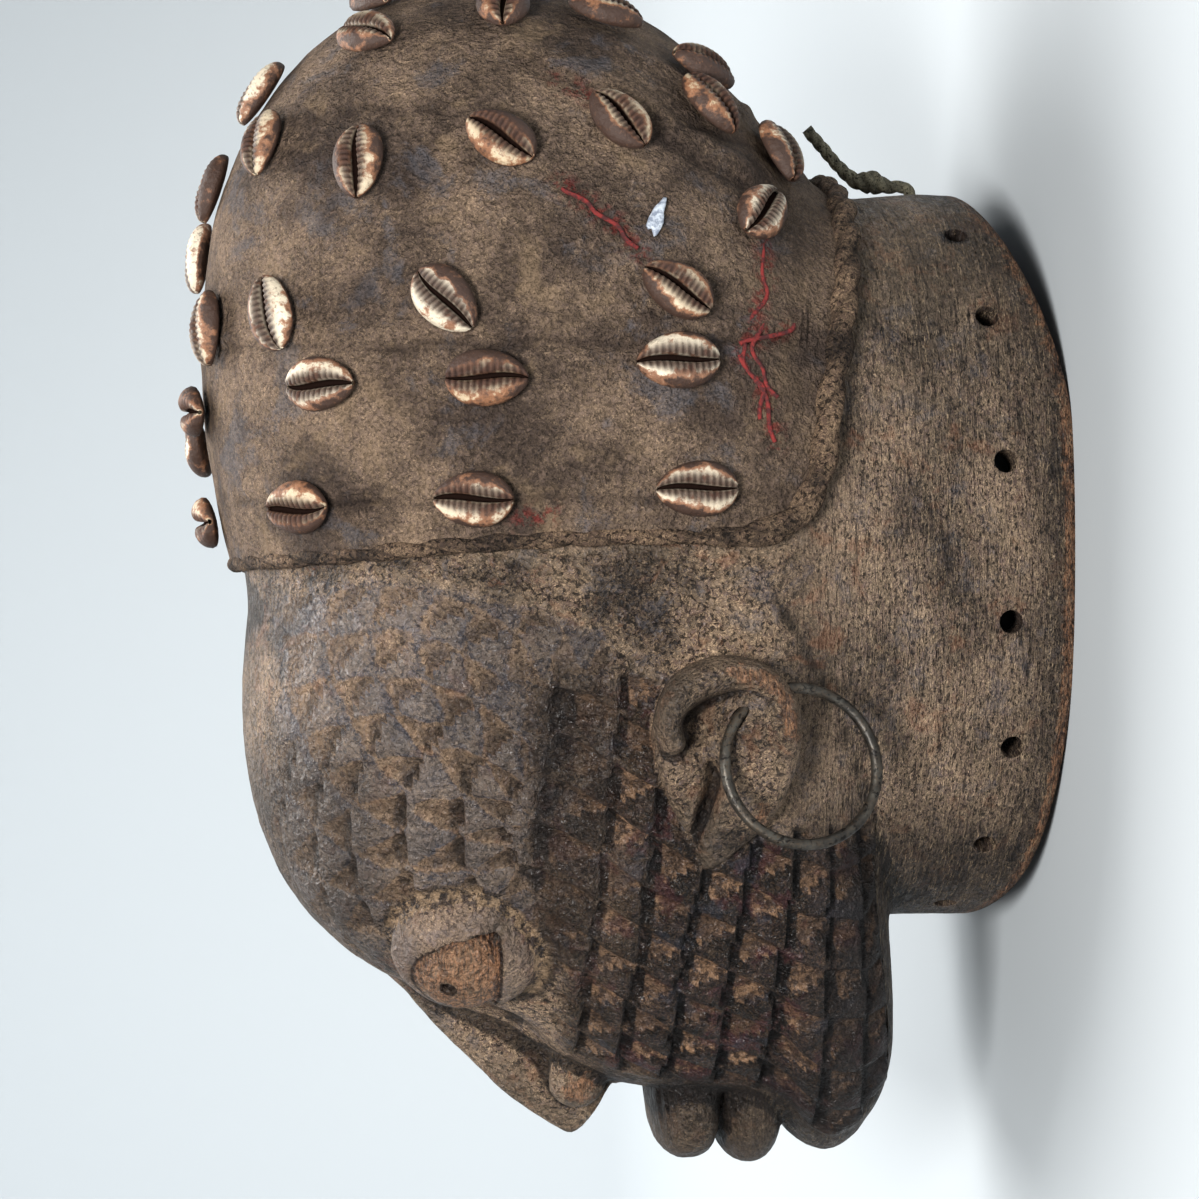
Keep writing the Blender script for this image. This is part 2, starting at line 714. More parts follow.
def carving_height(points, u, row):
    """Millimetres of relief on the head, and the masks of the cheek and the temple."""
    x, y, z = np.moveaxis(points, -1, 0)
    wobble = soft_noise(points, 21.0, 3) + 0.5 * soft_noise(points, 7.0, 4)
    nominal = JAW_EDGE + (row - 2.0) * (SHOULDER - JAW_EDGE)
    fan_down = 7.0 * smoothstep(70, 165, np.abs(u)) * smoothstep(60, 90, nominal)
    p = (np.abs(u) - FIRST_COLUMN) / CELL_WIDTH + 0.1 * wobble
    q = (nominal + fan_down - SCALE_FOOT) / CELL_HEIGHT
    q = q + 0.09 * soft_noise(points, 17.0, 5) + 0.07 * soft_noise(points, 5.0, 6)
    cheek = cheek_zone(x, y, z) * np.where(row > 1.9, 1.0, 0.0)
    cheek_relief, chip, under_base = scale_pattern(p, q, CHEEK_FLANK)
    cheek_relief = np.where(cheek_relief > 0, CHEEK_RISE, CHEEK_SINK) * cheek_relief

    temple = temple_zone(x, y, z) * (1.0 - cheek)
    tp, tq = temple_cells(x, y, z)
    tp = tp + 0.14 * wobble
    tq = TEMPLE_ROWS - tq + 0.1 * soft_noise(points, 15.0, 7)
    tq = tq + 0.07 * soft_noise(points, 5.0, 8)
    worn_flat = 1.0 - 0.55 * smoothstep(-62.0, -22.0, y)
    temple_pattern, temple_chip, temple_under = scale_pattern(tp, tq, TEMPLE_FLANK)
    temple_relief = TEMPLE_DEPTH * worn_flat * temple_pattern
    under_base = cheek * under_base + 0.7 * temple * worn_flat * temple_under
    chip = cheek * chip + temple * worn_flat * temple_chip
    edge = y - temple_back(z)
    ridge = np.exp(-((edge - 2.0) / 2.2) ** 2) * smoothstep(110, 120, z)
    ridge = ridge * smoothstep(224, 212, z) * smoothstep(15, 30, np.abs(x))
    height = cheek * cheek_relief + temple * temple_relief + 0.5 * ridge
    return height, cheek, temple, chip, under_base


CAP_BED = 1.2
CAP_ROUNDING = 26.0


def cap_outline(y, z):
    """Side view of the cap's edge: negative inside, and the cord lies on its zero line."""
    front = 9.5 - 6.5 * smoothstep(120, 232, z)
    bottom = 71.0 - 14.0 * smoothstep(20, 108, y)
    return keep_inside(front - y, bottom - z, CAP_ROUNDING)


print("the cheeks' relief goes from", -CHEEK_SINK, "to", CHEEK_RISE, "mm")

# %% [markdown]
# The head's mesh is a grid of rays through the cage. Rows and columns are close-set where the
# scales are and wide at the back, where the cap hides the wood. The same count of points
# spread evenly would blur the carving.

# %% Rows and columns of the head
def graded(start, stop, count, growth):
    """`count` places from start towards stop, with steps that grow evenly."""
    steps = np.linspace(1.0, growth, count)
    return start + (stop - start) * np.concatenate([[0.0], np.cumsum(steps)[:-1]]) / steps.sum()


FINE = 1
face_columns = np.linspace(0.0, FIRST_COLUMN, 36 // FINE, endpoint=False)
carved_end = FIRST_COLUMN + 9.0 * CELL_WIDTH
carved_columns = np.linspace(FIRST_COLUMN, carved_end, 90 // FINE, endpoint=False)
back_columns = graded(carved_end, HALF_OUTLINE, 66 // FINE, 3.0)
half_columns = np.concatenate([face_columns, carved_columns, back_columns])
columns = np.concatenate([half_columns, [HALF_OUTLINE], -half_columns[:0:-1]])

outer_rows = np.concatenate([
    np.linspace(0.0, 1.0, 17 // FINE, endpoint=False),
    np.linspace(1.0, 2.0, 26 // FINE, endpoint=False),
    np.linspace(2.0, 3.0, 68 // FINE, endpoint=False),
    np.linspace(3.0, 3.62, 64 // FINE, endpoint=False),
    np.linspace(3.62, 3.985, 16 // FINE),
])
inner_rows = np.linspace(3.97, 0.9, 16 // FINE)
print("grid", len(columns), "columns,", len(outer_rows), "rows outside")

# %% [markdown]
# The skin runs down the inside of the cavity, across the flat rim and up the outside. The
# outside is pushed in or out along its rays by the carving, by a shallow bed under the cap
# and by soft hand marks. A Displace modifier could do that too, but the push is needed as
# numbers anyway, because the colours follow it.

# %% Head mesh
HAND_MARKS = 0.35
KNIFE_MARKS = 0.2
FINE_MARKS = 0.16
CHEEK_MARKS = 0.12

u_grid, row_grid = np.meshgrid(columns, outer_rows)
base = on_surface(face_field, directions_to(cage_points(u_grid, row_grid)))
relief, cheek_mask, temple_mask, chip_mask, under_mask = carving_height(base, u_grid, row_grid)
bed = CAP_BED * (1.0 + 1.8 * smoothstep(100, 80, base[..., 2]))
under_cap = smoothstep(3.0, -3.0, cap_outline(base[..., 1], base[..., 2]))
marks = HAND_MARKS * soft_noise(base, 16.0, 19) + KNIFE_MARKS * soft_noise(base, 6.0, 23)
marks = marks + (FINE_MARKS + CHEEK_MARKS * cheek_mask) * soft_noise(base, 3.1, 25)
above_rim = smoothstep(0.0, 0.3, row_grid)
push = relief - bed * under_cap + marks * above_rim
outside = base + directions_to(base) * push[..., None]
flat_rim = cage_points(u_grid[:1], row_grid[:1] * 0.0)
outside[0] = flat_rim[0]

inner_u, inner_row = np.meshgrid(columns, inner_rows)
inside = on_surface(cavity_field, directions_to(cage_points(inner_u, inner_row)))
inside = inside + directions_to(inside) * (0.5 * soft_noise(inside, 14.0, 29))[..., None]
rim_x, rim_y = neck_outline(turn_at(columns), NECK_WALL)
side = np.where(columns < 0, -1.0, 1.0)
inner_rim = np.stack([side * rim_x, rim_y, rim_height(rim_y)], axis=-1)
rim_middle = (inner_rim + outside[0]) / 2.0

skin = np.concatenate([inside, inner_rim[None], rim_middle[None], outside])
ceiling = on_surface(cavity_field, up)
crown = on_surface(face_field, up, -CAP_BED)
head = closed_piece("carved_head", skin, ceiling, crown)
print("head", len(head.data.vertices), "points")

# %% [markdown]
# A material can only read numbers that are kept on the points. So the masks of the carving, of
# rubbed and sooty wood and of the eyes are worked out here. Blender's Pointiness would show
# edges too, but it depends on the mesh and can't tell a scale from a dent.

# %% Values for the wood
def grid_normals(points, outwards):
    """Unit normals of a grid closed round its rows, on the side of the rough `outwards`."""
    across = np.roll(points, -1, axis=1) - np.roll(points, 1, axis=1)
    normal = np.cross(across, np.gradient(points, axis=0))
    normal = normal / np.maximum(np.linalg.norm(normal, axis=-1, keepdims=True), 1e-9)
    return normal * np.sign((normal * outwards).sum(axis=-1, keepdims=True))


def stands_out(points, outwards, rounds):
    """How far a grid's points lie outside the average of their surroundings, in mm.

    Each round replaces a point by the mean of its four neighbours, so more rounds look wider.
    """
    smooth = points
    for _ in range(max(1, rounds // FINE**2)):
        above = np.concatenate([smooth[:1], smooth[:-1]])
        below = np.concatenate([smooth[1:], smooth[-1:]])
        smooth = (above + below + np.roll(smooth, 1, axis=1) + np.roll(smooth, -1, axis=1)) / 4.0
    return ((points - smooth) * grid_normals(smooth, outwards)).sum(axis=-1)


def rubbed_zone(x, y, z):
    """1 where hands and weather have bared the wood: eyeballs, wings of the nose, rim."""
    a, b, c = eye_frame(x, y, z)
    ball = smoothstep(1.5, -1.5, eye_opening(a, b)) * smoothstep(2.0, 6.0, c)
    ball = ball * (0.45 + 0.55 * smoothstep(-13.0, -5.0, a - 0.4 * b))
    wing = np.exp(-(((np.abs(x) - 20.0) / 6.0) ** 2 + ((y + 146.0) / 6.0) ** 2
                    + ((z - 127.0) / 6.0) ** 2))
    rim = smoothstep(5.0, 1.0, z - rim_height(y))
    return np.clip(np.maximum(np.maximum(ball, wing), rim), 0.0, 1.0)


def lid_edge(x, y, z):
    """Millimetres from the edge of the eye's lids, and a large number away from the eye."""
    a, b, c = eye_frame(x, y, z)
    return np.where(c > 1.0, eye_opening(a, b), 50.0)


def lid_zones(x, y, z):
    """Masks of the lid and of the surroundings where its dome meets the face."""
    a, b, c = eye_frame(x, y, z)
    reach = np.hypot((a - LID_SHIFT[0]) / LID_RADII[0], (b - LID_SHIFT[1]) / LID_RADII[1])
    closed = smoothstep(-10.0, -5.0, c) * smoothstep(0.0, 1.5, eye_opening(a, b))
    return closed * smoothstep(1.04, 0.94, reach), closed * smoothstep(1.2, 1.05, reach)


def soot_zone(x, y, z):
    """1 where smoke and handling have left the wood nearly black: jaw, lips, rim, brow.

    The dark of the cheeks also fades out slowly over the foot of the temple.
    """
    lips = smoothstep(-136.0, -146.0, y) * smoothstep(110.0, 102.0, z)
    jaw = smoothstep(74.0, 56.0, z) * smoothstep(-56.0, -80.0, y)
    rim = 0.9 * smoothstep(20.0, 3.0, z - rim_height(y))
    brow = 0.75 * smoothstep(172.0, 194.0, z) * smoothstep(-34.0, -60.0, y)
    above_cheek = 0.7 * temple_zone(x, y, z) * smoothstep(184.0, 140.0, z)
    return np.maximum.reduce([lips, jaw, rim, brow, above_cheek])


lid_mask, by_lid = lid_zones(*np.moveaxis(outside, -1, 0))
HEAD_VALUES = {
    "carving": relief,
    "cheek": cheek_mask,
    "temple": temple_mask,
    "chip": chip_mask,
    "under_base": under_mask,
    "cavity": np.zeros_like(relief),
    "edge_fine": stands_out(outside, directions_to(base), 8),
    "rubbed": rubbed_zone(*np.moveaxis(outside, -1, 0)),
    "soot": soot_zone(*np.moveaxis(outside, -1, 0)),
    "lid_edge": lid_edge(*np.moveaxis(outside, -1, 0)),
    "lid": lid_mask,
    "by_lid": by_lid,
}
hidden = np.zeros((len(inner_rows) + 2, len(columns)))
for name, values in HEAD_VALUES.items():
    inner_value = 1.0 if name == "cavity" else 0.0
    whole = np.concatenate([hidden + inner_value, values])
    keep_values(head, name, np.concatenate([whole.ravel(), [inner_value, 0.0]]))
    print(name, np.percentile(values, [2, 10, 50, 90, 98]).round(2))
print("relief", relief.min().round(2), "to", relief.max().round(2), "mm")

# %% [markdown]
# Each ear is a flat leaf that stands about a centimetre off the head. Its back edge is rolled
# into a rim, a deep groove with a sharp lower edge runs in from the front, and a second leaf
# rises above the groove. It is a height over the side view: rings of one outline shrink
# towards a centre, and each point gets its height from its distance to the drawn lines.

# %% Ears
EAR_CENTRE = (-47.0, 94.0)
EAR_BASE = 79.0
EAR_ROUNDING = 4.5
EAR_OUTLINE = [
    (-23.8, 104.5), (-27.6, 110.5), (-33.5, 114.2), (-40, 115.6), (-47, 115), (-56.1, 112.5),
    (-61.7, 110.1), (-67.3, 106.8), (-73, 103), (-79.5, 100), (-77.7, 95), (-73.5, 90.5),
    (-69, 85.6), (-63.6, 81.8), (-57, 79.1), (-49.6, 77.1), (-41.6, 76.7), (-33.6, 77.8),
    (-27, 82.8), (-23.4, 88.9), (-22.1, 96),
]
EAR_RIM_LINE = [
    (-45, 110.8), (-39.2, 112.2), (-33.6, 109.8), (-29, 104), (-26.8, 96), (-28.2, 87.8),
    (-33.1, 82.2), (-41.6, 80),
]
ear_plane = curve_through([
    (-82, 83.5), (-72, 90), (-63, 96), (-54, 100), (-45, 102.5), (-35, 103.5), (-20, 102.5),
])
flap_edge = curve_through([
    (-80, 102.6), (-72, 101.4), (-63.6, 98.8), (-58.4, 97.3), (-51.4, 96.3), (-44.9, 95.6),
    (-38, 94), (-31, 91),
])


def closed_radius(outline, centre):
    """Radius of a closed outline against the angle about its centre, as a smooth curve."""
    y, z = np.array(outline, dtype=float).T
    angle = np.arctan2(z - centre[1], y - centre[0])
    order = np.argsort(angle)
    return curve_round(angle[order], np.hypot(y - centre[0], z - centre[1])[order])


def distance_to_line(y, z, line):
    """Shortest distance in the side view to a line of straight pieces."""
    nearest = np.full(y.shape, 1e3)
    for (y0, z0), (y1, z1) in zip(line[:-1], line[1:]):
        dy, dz = y1 - y0, z1 - z0
        t = np.clip(((y - y0) * dy + (z - z0) * dz) / (dy * dy + dz * dz), 0.0, 1.0)
        nearest = np.minimum(nearest, np.hypot(y - y0 - t * dy, z - z0 - t * dz))
    return nearest


def smooth_line(line, count):
    """A line of straight pieces redrawn as a curve with `count` points."""
    number = np.arange(len(line))
    place = np.linspace(0.0, len(line) - 1.0, count)
    columns = np.array(line, dtype=float).T
    return [tuple(p) for p in np.stack(
        [curve_through(np.stack([number, c], axis=-1))(place) for c in columns], axis=-1)]


ear_rim_line = smooth_line(EAR_RIM_LINE, 36)
ear_radius = closed_radius(EAR_OUTLINE, EAR_CENTRE)
print("ear rim of", len(ear_rim_line), "points")

# %% [markdown]
# The two ears are the same height formula, mirrored. Each is made as a closed solid that
# reaches into the head, and then joined to it, so that the whole mask stays one piece.

# %% Ear meshes
def ear_height(y, z, to_outline):
    """The flap's plane, less the groove and the hollow, plus the second leaf and the rim."""
    above_edge = z - flap_edge(y)
    groove_depth = 8.5 * smoothstep(-78, -62, y) + 1.5 * smoothstep(-46, -38, y)
    step = 1.7 + 9.0 * smoothstep(-55, -45, y)
    leaf = smoothstep(-43.5, -52, y) * smoothstep(-75, -66, y)
    low = ear_plane(y) - groove_depth * smoothstep(0.0, 1.0, (above_edge + 0.5) / step)
    low = low + 5.0 * leaf * smoothstep(2.0, 6.5, above_edge)
    from_rim = distance_to_line(y, z, ear_rim_line)
    rim_rise = 1.0 + 2.6 * smoothstep(79, 92, z)
    rim_half = 2.6 + 1.4 * smoothstep(-44.0, -31.0, y)
    rim = ear_plane(y) + rim_rise - 3.4 * (from_rim / rim_half) ** 3
    inset = EAR_ROUNDING - np.minimum(to_outline, EAR_ROUNDING)
    rounding = EAR_ROUNDING - np.sqrt(np.maximum(EAR_ROUNDING**2 - inset**2, 0.0))
    return -join(-low, -rim, 1.5) - 0.9 * rounding, from_rim


def carved_ear(mirror):
    """Rings of the outline from the centre outwards, then a wall that leans in below."""
    sides, count = 132 // FINE, 52 // FINE
    turn = np.linspace(-math.pi, math.pi, sides, endpoint=False)
    reach = ear_radius(turn)
    share = np.linspace(0.0, 1.0, count + 1)[1:, None] ** 0.9
    y = EAR_CENTRE[0] + share * reach * np.cos(turn)
    z = EAR_CENTRE[1] + share * reach * np.sin(turn)
    x, from_rim = ear_height(y, z, (1.0 - share) * reach)
    top = np.stack([x, y, z], axis=-1)
    top[..., 0] += 0.3 * soft_noise(top, 7.0, 31) + 0.2 * soft_noise(top, 3.0, 33)
    lean = np.linspace(1.0, 0.93, 6)[1:, None]
    wall_x = top[-1, :, 0] + (EAR_BASE - top[-1, :, 0]) * np.linspace(0.0, 1.0, 6)[1:, None]
    wall_y = EAR_CENTRE[0] + (top[-1, :, 1] - EAR_CENTRE[0]) * lean
    wall_z = EAR_CENTRE[1] + (top[-1, :, 2] - EAR_CENTRE[1]) * lean
    grid = np.concatenate([top, np.stack([wall_x, wall_y, wall_z], axis=-1)])
    outwards = np.zeros(grid.shape)
    outwards[..., 0] = 1.0
    worn = np.exp(-(from_rim / 2.6) ** 2) * smoothstep(102, 94, z)
    worn = np.maximum(worn, np.exp(-((y + 64.0) / 3.5) ** 2 - ((z - 86.5) / 2.5) ** 2))
    values = {
        "edge_fine": stands_out(grid, outwards, 8),
        "rubbed": np.concatenate([worn, np.zeros(wall_y.shape)]),
        "soot": 0.2 + 0.3 * smoothstep(88.0, 98.0, grid[..., 2]),
    }
    centre_x, _ = ear_height(*np.array([[EAR_CENTRE[0]], [EAR_CENTRE[1]]]), np.array([50.0]))
    first = np.array([centre_x[0], *EAR_CENTRE])
    last = np.array([EAR_BASE, *EAR_CENTRE])
    side = np.array([mirror, 1.0, 1.0])
    ear = closed_piece("ear", grid * side, first * side, last * side)
    for name in HEAD_VALUES:
        nothing = 50.0 if name == "lid_edge" else 0.0
        numbers = values.get(name, np.full(grid.shape[:2], nothing))
        keep_values(ear, name, np.concatenate([numbers.ravel(), [0.0, 0.0]]))
    return ear


def combine(piece, tool, operation):
    """Joins a tool to a piece or cuts it away, and removes the tool."""
    modifier = piece.modifiers.new("combine", "BOOLEAN")
    modifier.operation = operation
    modifier.solver = "MANIFOLD"
    modifier.object = tool
    graph = bpy.context.evaluated_depsgraph_get()
    made = bpy.data.meshes.new_from_object(piece.evaluated_get(graph))
    old = piece.data
    piece.modifiers.clear()
    piece.data = made
    bpy.data.meshes.remove(old)
    bpy.data.objects.remove(tool)


for mirror in (1.0, -1.0):
    combine(head, carved_ear(mirror), "UNION")
print("with ears", len(head.data.vertices), "points")

# %% [markdown]
# The wearer's cloth was laced to the neck through a row of holes, and a ring of wire runs
# through each earlobe. Both are closed round bars: straight ones for the holes, and a circle
# of circles for the ring. Blender's torus would do for the ring, but its wire is too even.

# %% Rings and drills
RING_Y = -51.0
RING_Z = 77.5
RING_X = 103.5
RING_RADIUS = 20.9
RING_WIRE = 1.5
RING_SWING = 0.25
RING_LEAN = 0.15
RING_CLEARANCE = 0.4
RING_UNEVEN = 0.05


def ring_frame():
    """Unit vectors of the ring's own plane: backwards and upwards."""
    back = np.array([-RING_SWING, 1.0, 0.0])
    back = back / np.linalg.norm(back)
    upward = np.array([RING_LEAN, 0.0, 1.0])
    upward = upward - upward.dot(back) * back
    return back, upward / np.linalg.norm(upward)


def wire_ring(name, wire, around, sides, mirror, uneven=0.0):
    """Circle of circles: the wire's section carried round the ring."""
    back, upward = ring_frame()
    outwards = np.cross(back, upward)
    turn = 2.0 * math.pi * np.arange(around) / around
    spoke = np.cos(turn)[:, None] * back + np.sin(turn)[:, None] * upward
    centre = np.array([RING_X, RING_Y, RING_Z])
    section = 2.0 * math.pi * np.arange(sides) / sides
    thick = wire * (1.0 + uneven * np.sin(3.0 * turn + 0.7) * np.sin(7.0 * turn))
    radial = RING_RADIUS + thick[:, None] * np.cos(section)
    points = centre + radial[..., None] * spoke[:, None, :]
    points = points + (thick[:, None] * np.sin(section))[..., None] * outwards
    points[..., 0] *= mirror
    return looped_piece(name, points)


def drill(start, end, radius, sides=20):
    """A round bar from start to end, made of two rings and two poles."""
    start, end = np.array(start, dtype=float), np.array(end, dtype=float)
    along = (end - start) / np.linalg.norm(end - start)
    first = np.cross(along, [0.0, 0.0, 1.0])
    first = first / np.linalg.norm(first)
    second = np.cross(along, first)
    turn = 2.0 * math.pi * np.arange(sides) / sides
    circle = radius * (np.cos(turn)[:, None] * first + np.sin(turn)[:, None] * second)
    rings = np.stack([start + circle, end + circle])
    return closed_piece("drill", rings, start, end)


print("ring", 2.0 * RING_RADIUS, "mm across, wire", 2.0 * RING_WIRE, "mm thick")

# %% [markdown]
# The bars are cut away from the wood with a Boolean. The lacing holes run square to the neck's
# wall, the ring's tunnel follows the ring, and the pupils are blind holes in the eyes.

# %% Holes in the wood
LACING = [
    (-93.6, 23.5), (-75, 18.7), (-47.5, 15.2), (-13.5, 17.4), (29.7, 18.8), (69.6, 21), (93.7, 25),
]
DRILL_IN = 16.0
DRILL_OUT = 6.0
PUPIL_DEPTHS = (5.0, 18.0)
LACING_RADIUS = 3.2
BACK_HOLE_HEIGHT = 26.5
PUPIL_RISE = -0.6
PUPIL_RADIUS = 2.4

for mirror in (1.0, -1.0):
    combine(head, wire_ring("drill", RING_WIRE + RING_CLEARANCE, 60, 12, mirror), "DIFFERENCE")
for y, z in LACING:
    dy = (y - NECK_Y) / NECK_HALF_LENGTH
    x = NECK_HALF_WIDTH * (1.0 - abs(dy) ** NECK_POWER) ** (1.0 / NECK_POWER)
    slope = np.array([
        (x / NECK_HALF_WIDTH) ** (NECK_POWER - 1.0) / NECK_HALF_WIDTH,
        math.copysign(abs(dy) ** (NECK_POWER - 1.0), dy) / NECK_HALF_LENGTH,
    ])
    slope = slope / np.linalg.norm(slope)
    for mirror in (1.0, -1.0):
        start = (mirror * (x - slope[0] * DRILL_IN), y - slope[1] * DRILL_IN, z)
        end = (mirror * (x + slope[0] * DRILL_OUT), y + slope[1] * DRILL_OUT, z)
        combine(head, drill(start, end, LACING_RADIUS), "DIFFERENCE")
neck_back = NECK_Y + NECK_HALF_LENGTH
start = (0.0, neck_back - DRILL_IN, BACK_HOLE_HEIGHT)
end = (0.0, neck_back + DRILL_OUT, BACK_HOLE_HEIGHT)
combine(head, drill(start, end, LACING_RADIUS), "DIFFERENCE")
for mirror in (1.0, -1.0):
    ends = []
    for out in PUPIL_DEPTHS:
        p = EYE_CENTRE + EYE_OUT * out + EYE_UP * PUPIL_RISE
        ends.append((mirror * p.x, p.y, p.z))
    combine(head, drill(*ends, PUPIL_RADIUS), "DIFFERENCE")

head.name = "carved_mask"
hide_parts("mask")
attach(head, "root")
head.data.shade_smooth()

for name, mirror in (("left", 1.0), ("right", -1.0)):
    ring = wire_ring(f"wire_ring_{name}", RING_WIRE, 96, 14, mirror, RING_UNEVEN)
    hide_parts(f"earring_{name}")
    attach(ring, "root")
print("drilled", len(head.data.vertices), "points")
head_points = np.empty(len(head.data.vertices) * 3)
head.data.vertices.foreach_get("co", head_points)
head_points = head_points.reshape(-1, 3) / MM
print("head spans", head_points.min(axis=0).round(1), head_points.max(axis=0).round(1))

# %% [markdown]
# The cap is stiff cloth stretched over the back of the head, with seams that run down from
# the crown and folds towards the neck. It is laid out like a flower: `around` turns about
# the line from the face to the back of the head, and `down` is the angle from the back. Its
# edge is where the wood meets the cap's outline in the side view. The folds and seams are
# lines drawn in that view, and the cloth rises or sinks with the distance from them.

# %% Cap
CAP_GAP = 1.7
CAP_THICKNESS = 2.0
CAP_INSET = 1.2
EDGE_STEPS = 40
EDGE_HALVINGS = 12


def cap_directions(around, down):
    """Unit vectors for the cap's own two angles."""
    s = np.sin(down)
    return np.stack([s * np.sin(around), np.cos(down), s * np.cos(around)], axis=-1)


def cap_edge_angles(around, inset):
    """The largest `down` for each `around` that stays inside the cap's outline."""
    inner = np.full(len(around), math.radians(8.0))
    step = math.radians(3.0)

    def outside_at(down):
        p = on_surface(face_field, cap_directions(around, down))
        return cap_outline(p[:, 1], p[:, 2]) > -inset

    moving = np.ones(len(around), dtype=bool)
    for _ in range(EDGE_STEPS):
        moving &= ~outside_at(inner + step)
        inner = np.where(moving, inner + step, inner)
    outer = inner + step
    for _ in range(EDGE_HALVINGS):
        middle = (inner + outer) / 2.0
        out = outside_at(middle)
        outer = np.where(out, middle, outer)
        inner = np.where(out, inner, middle)
    return inner


# Seams and folds as (y, z) lines in the side view, with their height, half width and side.
CAP_LINES = [
    ([(19, 222), (18, 160), (19, 110), (21, 78)], -0.9, 1.1, 0),
    ([(22, 222), (21.5, 160), (22, 110), (24, 78)], 0.35, 1.6, 0),
    ([(61, 226), (59, 160), (59, 120), (61, 74)], -1.1, 1.2, 0),
    ([(65, 226), (63, 160), (63, 120), (65, 74)], 0.8, 1.8, 0),
    ([(139, 151), (124, 124), (103, 88)], -1.7, 1.7, 1),
    ([(142, 149), (128, 121), (108, 86)], 1.6, 2.4, 1),
    ([(104, 141), (92, 128), (83, 116)], -1.3, 1.5, 1),
    ([(107, 143), (96, 130), (87, 117)], 1.3, 2.0, 1),
    ([(122, 202), (124, 186), (122, 170)], -1.2, 1.4, 1),
    ([(126, 203), (128, 186), (126, 170)], 1.1, 1.8, 1),
    ([(88, 86), (100, 74), (112, 64)], 1.1, 2.4, 0),
    ([(120, 98), (116, 82), (108, 70)], -1.3, 2.0, 1),
    ([(146, 128), (134, 104), (122, 88)], 1.2, 2.4, 1),
    ([(112, 106), (122, 92), (128, 80)], 1.2, 2.2, 1),
    ([(150, 170), (146, 140), (138, 118)], -1.0, 1.8, -1),
    ([(118, 150), (104, 120), (92, 92)], 1.4, 2.2, -1),
    ([(114, 148), (100, 118), (88, 90)], -1.4, 1.6, -1),
    ([(80, 190), (86, 160), (84, 130)], -1.0, 1.6, -1),
]
RED_LINES = [
    [(34, 83), (46, 86), (58, 92)], [(66, 88), (78, 84), (92, 84)], [(60, 91), (64, 80)],
    [(83, 118), (90, 124), (101, 138)], [(120, 122), (127, 131), (131, 138)],
    [(14, 149), (15, 142)],
]


def cap_relief(points):
    """Sum of height * exp(-(distance / width)^2) over the lines, and soft dents."""
    x, y, z = np.moveaxis(points, -1, 0)
    wobble_y = y + 1.6 * soft_noise(points, 13.0, 41)
    wobble_z = z + 1.6 * soft_noise(points, 13.0, 43)
    total = 0.7 * soft_noise(points, 24.0, 45) + 0.35 * soft_noise(points, 9.0, 47)
    total = total + 0.12 * soft_noise(points, 3.6, 49)
    seam = np.zeros(y.shape)
    for line, height, width, only_side in CAP_LINES:
        here = np.ones(y.shape) if only_side == 0 else smoothstep(5, 20, x * only_side)
        bump = here * np.exp(-(distance_to_line(wobble_y, wobble_z, line) / width) ** 2)
        total = total + height * bump
        seam = np.maximum(seam, bump if height < 0 else 0.0)
    return total, seam


print("cap with", len(CAP_LINES), "seams and folds")

# %% [markdown]
# The cloth has two layers, closed along the hem. The folds are added to the outer one only,
# and the inner one needs fewer rings because nobody sees it.

# %% Cap mesh
RED_HALF_WIDTH = 2.6

cap_columns = 300 // FINE
cap_rings = 96 // FINE
cap_turns = 2.0 * math.pi * np.arange(cap_columns) / cap_columns
cap_edges = cap_edge_angles(cap_turns, CAP_INSET)
share = np.linspace(0.0, 1.0, cap_rings + 1)[1:]
cap_down = cap_edges[None, :] * share[:, None]
cap_around = np.broadcast_to(cap_turns, cap_down.shape)
cap_rays = cap_directions(cap_around, cap_down)
cap_base = on_surface(face_field, cap_rays, CAP_GAP)
folds, seams = cap_relief(cap_base)
fade = smoothstep(1.0, 0.93, share)[:, None]
outer_layer = cap_base + cap_rays * (CAP_THICKNESS - 0.3 + folds * fade)[..., None]
coarse = np.arange(1, cap_rings + 1) % 4 == 0
inner_layer = cap_base[coarse][::-1]
hem = cap_base[-1] + cap_rays[-1] * (CAP_THICKNESS * 0.5)
hem = hem + (cap_base[-1] - cap_base[-2]) * 0.5
back_ray = np.array([[0.0, 1.0, 0.0]])
outer_tip = on_surface(face_field, back_ray, CAP_GAP + CAP_THICKNESS)
inner_tip = on_surface(face_field, back_ray, CAP_GAP)
cap = closed_piece(
    "cloth_cap",
    np.concatenate([outer_layer, hem[None], inner_layer]),
    outer_tip,
    inner_tip,
)
inner_count = cap_columns * (1 + int(coarse.sum()))
keep_values(cap, "seam", np.concatenate([seams.ravel(), np.zeros(inner_count + 2)]))
red = np.full(seams.shape, 1e3)
for line in RED_LINES:
    red = np.minimum(red, distance_to_line(cap_base[..., 1], cap_base[..., 2], line))
red = np.exp(-(red / RED_HALF_WIDTH) ** 2) * smoothstep(0, 10, cap_base[..., 0])
keep_values(cap, "red", np.concatenate([red.ravel(), np.zeros(inner_count + 2)]))
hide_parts("cap")
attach(cap, "root")


# %% [markdown]
# A two-ply cord is sewn round the cap's edge. A rope can be two curves wound on each other,
# but here it is one skin: a round section whose radius dips twice on its way round, turned
# steadily along the path, which gives the same diagonal plies and has no hidden inside.

# %% Edge cord
EDGE_CORD_RADIUS = 2.3
EDGE_CORD_LOW_RADIUS = 3.7
PLY_PITCH = 15.0
PLY_SHARPNESS = 0.7


